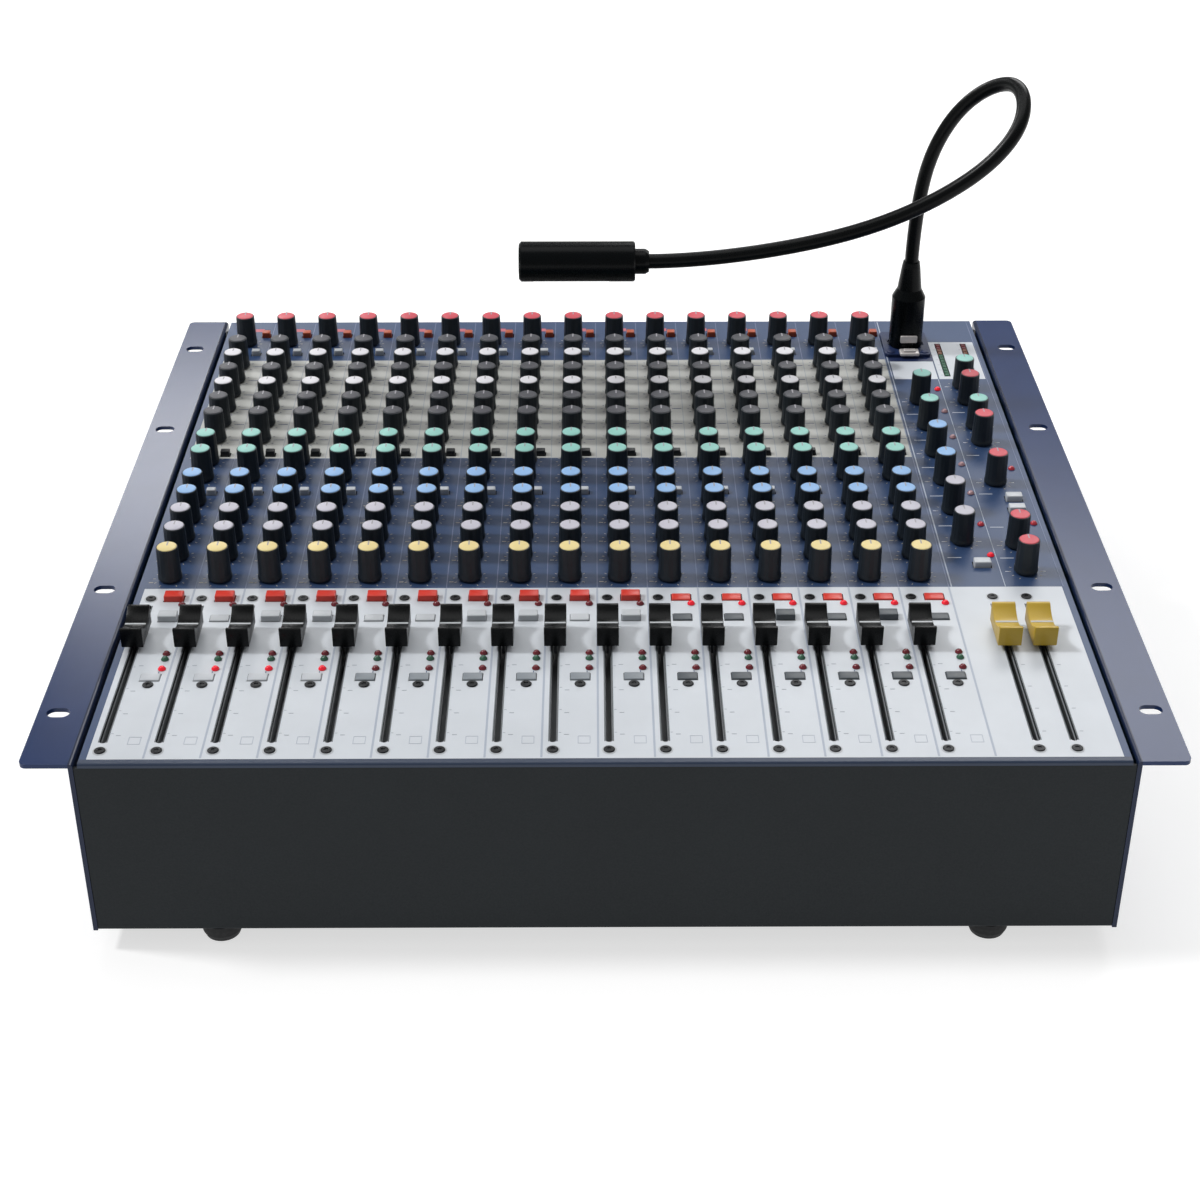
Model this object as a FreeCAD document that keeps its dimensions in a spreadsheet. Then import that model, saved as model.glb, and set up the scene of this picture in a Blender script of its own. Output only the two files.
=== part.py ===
import FreeCAD, Part
import math
import os

import Sketcher
from FreeCAD import Placement, Rotation, Vector

# A 16 channel rack mixing console with a gooseneck lamp.
# +X is to the operator's right, -Y is the front edge, +Z is up, and z = 0 is the underside of the feet.
# Controls are laid out by their distance from the panel's front edge, as a panel drawing gives them.

DIMENSIONS = [
    ("rack_width", 482.6, "over the rack ears"),
    ("panel_depth", 443.7, "10 rack units, less the usual gap"),
    ("panel_width", 434.0, "top panel"),
    ("panel_thick", 2.0, "top panel sheet"),
    ("body_height", 88.0, "base to panel top"),
    ("body_width", 442.0, "over the side plates"),
    ("side_thick", 2.0, "side plate and ear sheet"),
    ("tray_thick", 1.5, "front, base and rear sheet"),
    ("fit_gap", 0.2, "between sheets that meet"),
    ("foot_height", 9.5, "rubber foot"),
    ("foot_diameter", 18.0, "rubber foot"),
    ("foot_across", 167.0, "foot axis from the centre line"),
    ("foot_inset", 9.6, "foot axis from the front or rear edge"),
    ("rack_slot_across", 465.1, "rack slots, left to right"),
    ("rack_slot_outer", 368.3, "outer rack slots, front to rear"),
    ("rack_slot_inner", 165.1, "inner rack slots, front to rear"),
    ("rack_slot_length", 10.0, "rack slot"),
    ("rack_slot_width", 6.8, "rack slot"),
    ("channel_count", 16, "channel strips"),
    ("channel_pitch", 23.44, "strip width"),
    ("first_fader", -209.4, "fader slot of channel 1"),
    ("knob_offset", 6.0, "knob column, right of the fader slot"),
    ("lamp_offset", 15.2, "LED column, right of the fader slot"),
    ("left_master", 180.0, "left master fader slot"),
    ("right_master", 195.7, "right master fader slot"),
    ("fader_middle", 70.0, "middle of the fader slots"),
    ("fader_rest", 95.6, "where the fader caps stand"),
    ("fader_travel", 100.0, "full fader travel"),
    ("fader_slot_length", 110.0, "fader slot"),
    ("fader_slot_width", 3.0, "fader slot"),
    ("fader_screw_pitch", 121.0, "between the screws of one fader"),
    ("fader_cap_width", 9.8, "fader cap"),
    ("fader_cap_length", 21.5, "fader cap"),
    ("fader_cap_top", 12.0, "fader cap, above the panel"),
    ("fader_cap_gap", 2.5, "under the fader cap"),
    ("knob_skirt", 11.4, "knob diameter at the panel"),
    ("knob_crown", 10.2, "knob diameter at the top"),
    ("knob_cap", 9.2, "coloured insert"),
    ("knob_top", 18.0, "knob, above the panel"),
    ("knob_hole", 7.6, "shaft hole in the panel"),
    ("shaft_diameter", 6.0, "potentiometer shaft"),
    ("lamp_hole", 3.2, "LED hole in the panel"),
    ("board_drop", 16.0, "board top, below the panel top"),
    ("board_thick", 1.6, "circuit board"),
    ("rear_inset", 8.0, "rear panel's outer face, inside the panel edge"),
    ("lamp_x", 174.5, "lamp socket, from the centre line"),
    ("lamp_y", 408.0, "lamp socket, from the front edge"),
    ("lamp_neck", 7.7, "gooseneck diameter"),
    ("lamp_head_diameter", 21.0, "lamp head"),
    ("lamp_head_length", 61.0, "lamp head"),
]

# Knob rows of a channel strip, by distance from the front edge.
CHANNEL_KNOBS = {
    "gain": 412.7,
    "treble": 382.0,
    "high_mid_frequency": 363.9,
    "high_mid_gain": 345.8,
    "low_mid_frequency": 327.7,
    "low_mid_gain": 309.6,
    "bass": 291.5,
    "aux_1": 266.0,
    "aux_2": 248.3,
    "aux_3": 222.7,
    "aux_4": 205.3,
    "aux_5": 186.7,
    "aux_6": 168.7,
    "pan": 148.7,
}

# Push buttons of a channel strip: distance from the front edge, offset from the fader slot, width, depth.
CHANNEL_BUTTONS = {
    "phantom": (423.5, 15.6, 4.4, 4.4),
    "high_pass": (398.5, 12.9, 4.6, 3.6),
    "equaliser": (274.5, 13.4, 4.6, 3.6),
    "pre_fade": (232.5, 12.5, 4.6, 3.6),
    "mute": (130.7, 10.8, 8.6, 5.0),
    "mix": (113.2, 10.8, 8.0, 5.0),
    "solo": (64.4, 11.2, 8.0, 5.0),
}
BUTTON_HEIGHT = 3.0

# LEDs of a channel strip, by distance from the front edge.
CHANNEL_LAMPS = (125.0, 83.3, 78.9, 71.1)

# Master section: knob axes, buttons and LEDs as (distance from centre line, distance from front edge).
MASTER_KNOBS = [(173.4, y) for y in (335.3, 304.7, 274.0, 243.3, 212.7, 182.0)]
MASTER_KNOBS += [(199.4, y) for y in (354.0, 334.7, 304.7, 286.5, 242.0, 178.0, 153.5)]
MASTER_BUTTONS = [(179.8, 159.6), (205.5, 213.0), (205.9, 224.7)]
MASTER_LAMPS = [(185.3, y) for y in (350.5, 323.0, 292.5, 261.5, 230.5, 198.5, 168.5)]
MASTER_LAMPS += [(210.2, 256.8), (211.4, 199.3)]

MASTER_BUTTON = (8.0, 5.0)
METER_COLUMNS = (193.4, 208.0)
METER_MIDDLE, METER_LENGTH, METER_WIDTH = 389.2, 42.6, 2.4
METER_SEGMENTS = 12

# Rear panel: microphone sockets in two rows, jack sockets in two rows, then outputs and mains.
REAR_ROWS = (33.0, 66.0)
MIC_PLACES = [(-201.0 + 31.0 * n, z) for z in REAR_ROWS for n in range(8)]
JACK_PLACES = [(49.0 + 22.0 * n, z) for z in REAR_ROWS for n in range(4)]
OUTPUT_PLACES = [(142.0, z) for z in REAR_ROWS]
INLET_PLACE, SWITCH_PLACE = [(190.0, z) for z in REAR_ROWS]
INLET_SIZE = (27.6, 19.6)
SWITCH_SIZE = (21.0, 15.0)
ROCKER_TILT = 10.0
JACK_NOSE = 11.0
SOCKET_HOLE = 24.0
SOCKET_PLATE = 1.8
CONTACTS = [(3.6, 2.2), (-3.6, 2.2), (0.0, -3.6)]

# Screws: their holes, and their rows in the sides and at the rear.
SCREW_HOLE = 3.5
SIDE_SCREWS = (-180.0, 0.0, 180.0)
SIDE_SCREW_Z = 24.0
REAR_SCREWS = [(105.0 * n, z) for n in range(-2, 3) for z in (13.5, 90.0)]
STRIP_SCREW = (58.6, 11.2)  # from the front edge, and right of the fader slot
FLANGE_HEIGHT = 11.0
SIDE_FLANGE = 30.0

# Inside: fader lever, carriage and track, switch and potentiometer bodies.
LEVER = (1.2, 4.0)
CARRIAGE = (5.0, 8.0, 4.0)
CARRIAGE_TOP = 7.0
TRACK = (12.0, 132.0)
TRACK_DROP = 0.3
SWITCH_BLOCK = 5.0
SWITCH_DROP = 4.2
POT_BLOCK = (9.6, 10.6)
POT_DROP = 1.4
SHAFT_REACH = 0.8
SUPPLY_SIZE = (70.0, 130.0, 44.0)

# The gooseneck's route from the plug, up and over its loop, and to the lamp head.
NECK_ROUTE = [
    (174.5, 186.15, 152.5),
    (174.5, 186.15, 168.5),
    (177.5, 185.0, 207.5),
    (190.0, 184.0, 235.0),
    (204.0, 179.5, 250.0),
    (214.5, 171.5, 256.5),
    (219.5, 162.5, 257.5),
    (221.5, 152.0, 254.0),
    (219.0, 139.5, 246.0),
    (210.5, 130.5, 235.0),
    (193.0, 127.0, 218.5),
    (156.5, 125.0, 198.0),
    (107.0, 120.5, 184.5),
    (50.0, 115.0, 179.0),
    (25.0, 115.0, 179.0),
]
PLUG_HEIGHT = 52.0
COLLAR_LENGTH = 7.4
LENS_SIZE = (40.0, 11.0)

doc = FreeCAD.newDocument("MixingConsole")
nodes = []


def make_sheet():
    """The spreadsheet of driving dimensions."""
    sheet = doc.addObject("Spreadsheet::Sheet", "Dimensions")
    for row, (alias, value, note) in enumerate(DIMENSIONS, start=1):
        sheet.set(f"A{row}", note)
        sheet.set(f"B{row}", str(value))
        sheet.setAlias(f"B{row}", alias)
    doc.recompute()
    return sheet


SHEET = make_sheet()


def dim(alias):
    """One driving dimension, as the sheet holds it."""
    return float(SHEET.get(alias))


def across_panel(distance):
    """The frame's y of a place given by its distance from the panel's front edge."""
    return distance - dim("panel_depth") / 2


PANEL_TOP_FORMULA = "Dimensions.foot_height + Dimensions.body_height"
PANEL_UNDER_FORMULA = f"{PANEL_TOP_FORMULA} - Dimensions.panel_thick"
BOARD_FORMULA = f"{PANEL_TOP_FORMULA} - Dimensions.board_drop"
PANEL_TOP = dim("foot_height") + dim("body_height")
BOARD_TOP = PANEL_TOP - dim("board_drop")
REAR_FACE = dim("panel_depth") / 2 - dim("rear_inset")
CHANNEL_SLOTS = [dim("first_fader") + dim("channel_pitch") * n for n in range(int(dim("channel_count")))]
FADER_SLOTS = CHANNEL_SLOTS + [dim("left_master"), dim("right_master")]


def keep(thing, label):
    """Marks an object as a sub-part, under the name of its file."""
    thing.Label = label
    nodes.append(thing)
    return thing


def new_body(name):
    return doc.addObject("PartDesign::Body", name)


def new_sketch(body, name, plane, height=None):
    """A sketch on one of the body's own origin planes, raised by a formula if one is given."""
    sketch = body.newObject("Sketcher::SketchObject", name)
    support = next(f for f in body.Origin.OriginFeatures if f.Role == plane)
    sketch.AttachmentSupport = [(support, "")]
    sketch.MapMode = "FlatFace"
    if height is not None:
        sketch.setExpression("AttachmentOffset.Base.z", str(height))
    return sketch


def number(sketch, formula):
    """The present value of a formula over the sheet."""
    value = sketch.evalExpression(str(formula))
    return float(getattr(value, "Value", value))


def bind(sketch, rules):
    """Adds dimensional constraints, each held to its formula."""
    first = sketch.ConstraintCount
    values = [number(sketch, formula) for _, _, formula in rules]
    sketch.addConstraint([
        Sketcher.Constraint(kind, *where, value)
        for (kind, where, _), value in zip(rules, values)
    ])
    for offset, (_, _, formula) in enumerate(rules):
        sketch.setExpression(f"Constraints[{first + offset}]", str(formula))


def draw_circle(sketch, x, y, radius):
    """A circle whose centre and radius are formulas."""
    centre = Vector(number(sketch, x), number(sketch, y), 0)
    index = sketch.addGeometry(Part.Circle(centre, Vector(0, 0, 1), number(sketch, radius)))
    bind(sketch, [
        ("DistanceX", (-1, 1, index, 3), x),
        ("DistanceY", (-1, 1, index, 3), y),
        ("Radius", (index,), radius),
    ])


def draw_rectangle(sketch, x, y, width, depth):
    """A rectangle about the centre (x, y), all four formulas."""
    cx, cy = number(sketch, x), number(sketch, y)
    half_w, half_d = number(sketch, width) / 2, number(sketch, depth) / 2
    corners = [
        Vector(cx - half_w, cy - half_d, 0),
        Vector(cx + half_w, cy - half_d, 0),
        Vector(cx + half_w, cy + half_d, 0),
        Vector(cx - half_w, cy + half_d, 0),
    ]
    a, b, c, d = sketch.addGeometry([Part.LineSegment(corners[i], corners[(i + 1) % 4]) for i in range(4)])
    sketch.addConstraint([
        Sketcher.Constraint("Coincident", a, 2, b, 1),
        Sketcher.Constraint("Coincident", b, 2, c, 1),
        Sketcher.Constraint("Coincident", c, 2, d, 1),
        Sketcher.Constraint("Coincident", d, 2, a, 1),
        Sketcher.Constraint("Horizontal", a),
        Sketcher.Constraint("Vertical", b),
        Sketcher.Constraint("Horizontal", c),
        Sketcher.Constraint("Vertical", d),
    ])
    bind(sketch, [
        ("DistanceX", (-1, 1, a, 1), f"({x}) - ({width}) / 2"),
        ("DistanceY", (-1, 1, a, 1), f"({y}) - ({depth}) / 2"),
        ("DistanceX", (a, 1, a, 2), width),
        ("DistanceY", (b, 1, b, 2), depth),
    ])


def draw_slot(sketch, x, y, length, width, along_x):
    """A slot with round ends, its overall length along x or y."""
    cx, cy = number(sketch, x), number(sketch, y)
    radius = number(sketch, width) / 2
    reach = number(sketch, length) / 2 - radius
    way, turn = (Vector(1, 0, 0), 0.0) if along_x else (Vector(0, 1, 0), math.pi / 2)
    side = Vector(-way.y, way.x, 0) * radius
    ends = [Vector(cx, cy, 0) + way * reach, Vector(cx, cy, 0) - way * reach]
    rings = [Part.Circle(end, Vector(0, 0, 1), radius) for end in ends]
    quarter = math.pi / 2
    round_a, round_b, line_a, line_b = sketch.addGeometry([
        Part.ArcOfCircle(rings[0], turn - quarter, turn + quarter),
        Part.ArcOfCircle(rings[1], turn + quarter, turn + 3 * quarter),
        Part.LineSegment(ends[0] + side, ends[1] + side),
        Part.LineSegment(ends[1] - side, ends[0] - side),
    ])
    sketch.addConstraint([
        Sketcher.Constraint("Tangent", round_a, 2, line_a, 1),
        Sketcher.Constraint("Tangent", line_a, 2, round_b, 1),
        Sketcher.Constraint("Tangent", round_b, 2, line_b, 1),
        Sketcher.Constraint("Tangent", line_b, 2, round_a, 1),
    ])
    half = f"(({length}) - ({width})) / 2"
    bind(sketch, [
        ("DistanceX", (-1, 1, round_a, 3), f"({x}) + {half}" if along_x else x),
        ("DistanceY", (-1, 1, round_a, 3), y if along_x else f"({y}) + {half}"),
        ("DistanceX" if along_x else "DistanceY", (round_b, 3, round_a, 3), f"2 * {half}"),
        ("Radius", (round_a,), f"({width}) / 2"),
    ])


def draw_outline(sketch, points):
    """A closed outline through points held to their places."""
    vectors = [Vector(x, y, 0) for x, y in points]
    ends = vectors[1:] + vectors[:1]
    lines = sketch.addGeometry([Part.LineSegment(a, b) for a, b in zip(vectors, ends)])
    followers = lines[1:] + lines[:1]
    sketch.addConstraint([Sketcher.Constraint("Coincident", a, 2, b, 1) for a, b in zip(lines, followers)])
    held = []
    for line, (x, y) in zip(lines, points):
        held.append(("DistanceX", (-1, 1, line, 1), x))
        held.append(("DistanceY", (-1, 1, line, 1), y))
    bind(sketch, held)


def add_pad(body, sketch, name, length, both_ways=False, flipped=False):
    pad = body.newObject("PartDesign::Pad", name)
    pad.Profile = sketch
    pad.SideType = "Symmetric" if both_ways else "One side"
    pad.Reversed = flipped
    pad.setExpression("Length", str(length))
    doc.recompute()
    return pad


def add_pocket(body, sketch, name, length=None, both_ways=True, flipped=False):
    """A pocket through everything, or to a depth, that must take something away."""
    before = body.Shape.Volume
    pocket = body.newObject("PartDesign::Pocket", name)
    pocket.Profile = sketch
    pocket.SideType = "Symmetric" if both_ways else "One side"
    pocket.Reversed = flipped
    if length is None:
        pocket.Type = "ThroughAll"
    else:
        pocket.setExpression("Length", str(length))
    doc.recompute()
    if body.Shape.Volume >= before:
        raise RuntimeError(f"{name} cut nothing")
    return pocket


def add_revolution(body, sketch, name):
    """A full turn about the sketch's vertical axis."""
    turned = body.newObject("PartDesign::Revolution", name)
    turned.Profile = sketch
    turned.ReferenceAxis = (sketch, ["V_Axis"])
    turned.Angle = 360
    doc.recompute()
    return turned


def turned_body(name, outline):
    """A turned piece about z, from its half outline of (radius, height) points."""
    body = new_body(name)
    sketch = new_sketch(body, f"{name}_outline", "XZ_Plane")
    draw_outline(sketch, outline)
    add_revolution(body, sketch, f"{name}_turned")
    return body


def together(label, pieces, x="0", y="0", z="0"):
    """A sub-part of several solids, placed by formulas."""
    group = doc.addObject("Part::Compound", f"{label}_group")
    group.Links = pieces
    for axis, formula in (("x", x), ("y", y), ("z", z)):
        group.setExpression(f".Placement.Base.{axis}", str(formula))
    return keep(group, label)


def repeated(label, sets):
    """A sub-part made of moved copies: sets holds pairs of a piece and its places."""
    solids = []
    for piece, places in sets:
        for place in places:
            where = place if isinstance(place, Placement) else Placement(Vector(*place), Rotation())
            solids += [s.transformed(where.toMatrix()) for s in piece.Shape.Solids]
    group = doc.addObject("Part::Feature", f"{label}_group")
    group.Shape = Part.makeCompound(solids)
    return keep(group, label)


def depth_formula(distance):
    """Formula of the frame's y for a distance from the panel's front edge."""
    return f"{distance} - Dimensions.panel_depth / 2"


def round_edges(body, name, radius, choose):
    """Rounds the edges of the body's tip that choose() accepts."""
    tip = body.Tip
    edges = [f"Edge{i}" for i, edge in enumerate(tip.Shape.Edges, start=1) if choose(edge)]
    fillet = body.newObject("PartDesign::Fillet", name)
    fillet.Base = (tip, edges)
    fillet.Radius = radius
    doc.recompute()
    return fillet


def at_height(edge, z, tolerance=0.01):
    return all(abs(v.Z - z) < tolerance for v in edge.Vertexes)


def along_x(edge):
    """True for a straight edge that runs left to right."""
    a, b = edge.Vertexes[0].Point, edge.Vertexes[-1].Point
    return abs(a.y - b.y) < 0.01 and abs(a.z - b.z) < 0.01 and abs(a.x - b.x) > 1


def cut_fader(sketch, x):
    """A fader's slot and the holes of its two screws."""
    middle = depth_formula("Dimensions.fader_middle")
    draw_slot(sketch, x, middle, "Dimensions.fader_slot_length", "Dimensions.fader_slot_width", False)
    for sign in "+-":
        draw_circle(sketch, x, f"{middle} {sign} Dimensions.fader_screw_pitch / 2", SCREW_HOLE / 2)


def make_top_panel():
    """The control panel: one sheet, with every strip's openings cut once and repeated."""
    body = new_body("top_panel_body")
    outline = new_sketch(body, "panel_outline", "XY_Plane", PANEL_UNDER_FORMULA)
    draw_rectangle(outline, "0", "0", "Dimensions.panel_width", "Dimensions.panel_depth")
    add_pad(body, outline, "panel_sheet", "Dimensions.panel_thick")
    round_edges(body, "panel_edges", 1.0, lambda e: at_height(e, PANEL_TOP) and along_x(e))

    slot = "Dimensions.first_fader"
    strip = new_sketch(body, "strip_openings", "XY_Plane", PANEL_UNDER_FORMULA)
    knob_column, lamp_column = f"{slot} + Dimensions.knob_offset", f"{slot} + Dimensions.lamp_offset"
    for distance in CHANNEL_KNOBS.values():
        draw_circle(strip, knob_column, depth_formula(distance), "Dimensions.knob_hole / 2")
    for distance in CHANNEL_LAMPS:
        draw_circle(strip, lamp_column, depth_formula(distance), "Dimensions.lamp_hole / 2")
    for distance, offset, width, depth in CHANNEL_BUTTONS.values():
        draw_rectangle(strip, f"{slot} + {offset}", depth_formula(distance), width + 1, depth + 1)
    cut_fader(strip, slot)
    draw_circle(strip, f"{slot} + {STRIP_SCREW[1]}", depth_formula(STRIP_SCREW[0]), SCREW_HOLE / 2)
    cut = add_pocket(body, strip, "strip_cut")

    pattern = body.newObject("PartDesign::LinearPattern", "strips")
    pattern.Originals = [cut]
    pattern.Direction = (strip, ["H_Axis"])
    pattern.setExpression("Length", "(Dimensions.channel_count - 1) * Dimensions.channel_pitch")
    pattern.setExpression("Occurrences", "Dimensions.channel_count")
    body.Tip = pattern
    doc.recompute()

    master = new_sketch(body, "master_openings", "XY_Plane", PANEL_UNDER_FORMULA)
    for x, distance in MASTER_KNOBS:
        draw_circle(master, x, depth_formula(distance), "Dimensions.knob_hole / 2")
    for x, distance in MASTER_LAMPS:
        draw_circle(master, x, depth_formula(distance), "Dimensions.lamp_hole / 2")
    for x, distance in MASTER_BUTTONS:
        draw_rectangle(master, x, depth_formula(distance), MASTER_BUTTON[0] + 1, MASTER_BUTTON[1] + 1)
    for x in METER_COLUMNS:
        draw_rectangle(master, x, depth_formula(METER_MIDDLE), METER_WIDTH + 1, METER_LENGTH + 1)
    for master_slot in ("Dimensions.left_master", "Dimensions.right_master"):
        cut_fader(master, master_slot)
    draw_circle(master, "Dimensions.lamp_x", depth_formula("Dimensions.lamp_y"), SOCKET_HOLE / 2)
    add_pocket(body, master, "master_cut")

    inner = REAR_FACE - dim("tray_thick") - dim("fit_gap")
    flange = new_sketch(body, "rear_flange", "XZ_Plane", -inner)
    height = PANEL_TOP - dim("panel_thick") - FLANGE_HEIGHT / 2
    draw_rectangle(flange, "0", height, "Dimensions.panel_width - 4", FLANGE_HEIGHT)
    for x, z in REAR_SCREWS:
        if z > height - FLANGE_HEIGHT / 2:
            draw_circle(flange, x, z, SCREW_HOLE / 2)
    add_pad(body, flange, "rear_flange_sheet", "Dimensions.tray_thick")
    return keep(body, "top_panel")


def make_side_plates():
    """The right side plate and its mirror: wall below, rack ear above, one bend between them."""
    body = new_body("side_plate_body")
    profile = new_sketch(body, "side_profile", "XZ_Plane")
    half, ear = dim("body_width") / 2, dim("rack_width") / 2
    thick, top, base = dim("side_thick"), PANEL_TOP, dim("foot_height")
    draw_outline(profile, [
        (half - thick, base),
        (half, base),
        (half, top - thick),
        (ear, top - thick),
        (ear, top),
        (half - thick, top),
    ])
    add_pad(body, profile, "side_sheet", "Dimensions.panel_depth", both_ways=True)

    def is_bend(edge):
        a, b = edge.Vertexes[0].Point, edge.Vertexes[-1].Point
        runs_back = abs(a.x - b.x) < 0.01 and abs(a.z - b.z) < 0.01
        return runs_back and abs(a.x - (half - thick)) < 0.01 and abs(a.z - top) < 0.01

    def is_ear_corner(edge):
        a, b = edge.Vertexes[0].Point, edge.Vertexes[-1].Point
        return abs(a.x - ear) < 0.01 and abs(b.x - ear) < 0.01 and abs(a.y - b.y) < 0.01

    round_edges(body, "side_bend", thick * 0.9, is_bend)
    round_edges(body, "ear_corners", 3.0, is_ear_corner)
    slots = new_sketch(body, "rack_slots", "XY_Plane")
    for span in ("Dimensions.rack_slot_outer", "Dimensions.rack_slot_inner"):
        for sign in "+-":
            draw_slot(slots, "Dimensions.rack_slot_across / 2", f"0 {sign} {span} / 2",
                      "Dimensions.rack_slot_length", "Dimensions.rack_slot_width", True)
    add_pocket(body, slots, "rack_slot_cut")
    screws = new_sketch(body, "side_screw_holes", "YZ_Plane")
    for y in SIDE_SCREWS:
        draw_circle(screws, y, SIDE_SCREW_Z, SCREW_HOLE / 2)
    add_pocket(body, screws, "side_screw_cut")
    keep(body, "side_plate_right")
    mirror = doc.addObject("Part::Mirroring", "side_plate_mirror")
    mirror.Source = body
    mirror.Normal = (1, 0, 0)
    keep(mirror, "side_plate_left")


def make_chassis_tray():
    """Front wall, base, side flanges and rear lip, folded from one sheet."""
    body = new_body("chassis_tray_body")
    profile = new_sketch(body, "tray_profile", "YZ_Plane")
    front = -dim("panel_depth") / 2 + dim("fit_gap")
    rear = REAR_FACE - dim("tray_thick") - dim("fit_gap")
    base, thick = dim("foot_height"), dim("tray_thick")
    top = PANEL_TOP - dim("panel_thick") - dim("fit_gap")
    draw_outline(profile, [
        (front, base),
        (rear, base),
        (rear, base + FLANGE_HEIGHT),
        (rear - thick, base + FLANGE_HEIGHT),
        (rear - thick, base + thick),
        (front + thick, base + thick),
        (front + thick, top),
        (front, top),
    ])
    width = "Dimensions.body_width - 2 * Dimensions.side_thick - 2 * Dimensions.fit_gap"
    add_pad(body, profile, "tray_sheet", width, both_ways=True)
    flanges = new_sketch(body, "side_flanges", "XZ_Plane", -front)
    for sign in "+-":
        across = f"0 {sign} (({width}) / 2 - {thick} / 2)"
        draw_rectangle(flanges, across, base + SIDE_FLANGE / 2, thick, SIDE_FLANGE)
    add_pad(body, flanges, "side_flange_sheet", rear - front, flipped=True)
    side_holes = new_sketch(body, "flange_holes", "YZ_Plane")
    for y in SIDE_SCREWS:
        draw_circle(side_holes, y, SIDE_SCREW_Z, SCREW_HOLE / 2)
    add_pocket(body, side_holes, "flange_hole_cut")
    rear_holes = new_sketch(body, "lip_holes", "XZ_Plane", -rear)
    for x, z in REAR_SCREWS:
        if z < base + FLANGE_HEIGHT:
            draw_circle(rear_holes, x, z, SCREW_HOLE / 2)
    add_pocket(body, rear_holes, "lip_hole_cut", thick * 4)

    def is_bend(edge):
        return along_x(edge) and at_height(edge, base) and abs(edge.Vertexes[0].Y - front) < 0.01

    round_edges(body, "tray_bend", thick * 0.9, is_bend)
    holes = new_sketch(body, "foot_screw_holes", "XY_Plane")
    for x in ("Dimensions.foot_across", "-Dimensions.foot_across"):
        for y in ("Dimensions.foot_inset - Dimensions.panel_depth / 2",
                  "Dimensions.panel_depth / 2 - Dimensions.foot_inset - Dimensions.rear_inset"):
            draw_circle(holes, x, y, SCREW_HOLE / 2)
    add_pocket(body, holes, "foot_screw_cut", dim("foot_height") * 2 + 6)
    return keep(body, "chassis_tray")


def make_rear_panel():
    """The sheet that carries the sockets."""
    body = new_body("rear_panel_body")
    outline = new_sketch(body, "rear_outline", "XZ_Plane")
    bottom = dim("foot_height")
    top = PANEL_TOP - dim("panel_thick") - dim("fit_gap")
    width = "Dimensions.body_width - 2 * Dimensions.side_thick - 2 * Dimensions.fit_gap"
    draw_rectangle(outline, "0", (top + bottom) / 2, width, top - bottom)
    for x, z in MIC_PLACES + OUTPUT_PLACES:
        draw_circle(outline, x, z, SOCKET_HOLE / 2)
    for x, z in JACK_PLACES:
        draw_circle(outline, x, z, (JACK_NOSE + 0.6) / 2)
    for x, z in REAR_SCREWS:
        draw_circle(outline, x, z, SCREW_HOLE / 2)
    draw_rectangle(outline, *INLET_PLACE, INLET_SIZE[0] + 0.8, INLET_SIZE[1] + 0.8)
    draw_rectangle(outline, *SWITCH_PLACE, SWITCH_SIZE[0] + 0.8, SWITCH_SIZE[1] + 0.8)
    add_pad(body, outline, "rear_sheet", "Dimensions.tray_thick")
    body.setExpression(".Placement.Base.y", "Dimensions.panel_depth / 2 - Dimensions.rear_inset")
    return keep(body, "rear_panel")


def make_feet():
    """Domed rubber feet with a recess for their screws."""
    radius, height = dim("foot_diameter") / 2, dim("foot_height")
    foot = turned_body("foot", [
        (0, 3.0),
        (3.2, 3.0),
        (3.2, 0),
        (radius * 0.62, 0),
        (radius * 0.84, height * 0.16),
        (radius * 0.97, height * 0.45),
        (radius, height * 0.75),
        (radius, height),
        (0, height),
    ])
    front = dim("foot_inset") - dim("panel_depth") / 2
    rear = dim("panel_depth") / 2 - dim("foot_inset") - dim("rear_inset")
    across = dim("foot_across")
    return repeated("rubber_feet", [(foot, [(x, y, 0) for x in (-across, across) for y in (front, rear)])])


def make_screws():
    """Slotted M3 screws: two for each fader, one in each strip, three in each side, ten in the rear."""
    body = turned_body("screw", [
        (0, -3.4),
        (1.5, -3.4),
        (1.5, 0.05),
        (2.4, 0.05),
        (2.4, 0.8),
        (1.7, 1.5),
        (0, 1.7),
    ])
    recess = new_sketch(body, "recess", "XY_Plane", "2")
    draw_rectangle(recess, "0", "0", 2.6, 0.6)
    add_pocket(body, recess, "recess_cut", 1.0, both_ways=False)
    middle = across_panel(dim("fader_middle"))
    reach = dim("fader_screw_pitch") / 2
    places = [Placement(Vector(x, middle + sign * reach, PANEL_TOP), Rotation())
              for x in FADER_SLOTS for sign in (-1, 1)]
    places += [Placement(Vector(x + STRIP_SCREW[1], across_panel(STRIP_SCREW[0]), PANEL_TOP), Rotation())
               for x in CHANNEL_SLOTS]
    for side in (-1, 1):
        outward = Rotation(Vector(0, 0, 1), Vector(side, 0, 0))
        places += [Placement(Vector(side * dim("body_width") / 2, y, SIDE_SCREW_Z), outward)
                   for y in SIDE_SCREWS]
    backward = Rotation(Vector(0, 0, 1), Vector(0, 1, 0))
    places += [Placement(Vector(x, REAR_FACE, z), backward) for x, z in REAR_SCREWS]
    return repeated("fixing_screws", [(body, places)])


def knob_side():
    """The outside of a knob from its skirt to its crown, as (radius, height) points."""
    skirt, crown, top = dim("knob_skirt") / 2, dim("knob_crown") / 2, dim("knob_top")
    return [(skirt, 0.8), (skirt, 2.4), (skirt - 0.25, 3.4), (crown, top - 1.0), (crown - 0.25, top - 0.6)]


def knob_crown(radius):
    """The domed top of the coloured insert."""
    return [(radius, dim("knob_top") - 0.5), (radius - 0.5, dim("knob_top") - 0.1), (0, dim("knob_top"))]


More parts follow.
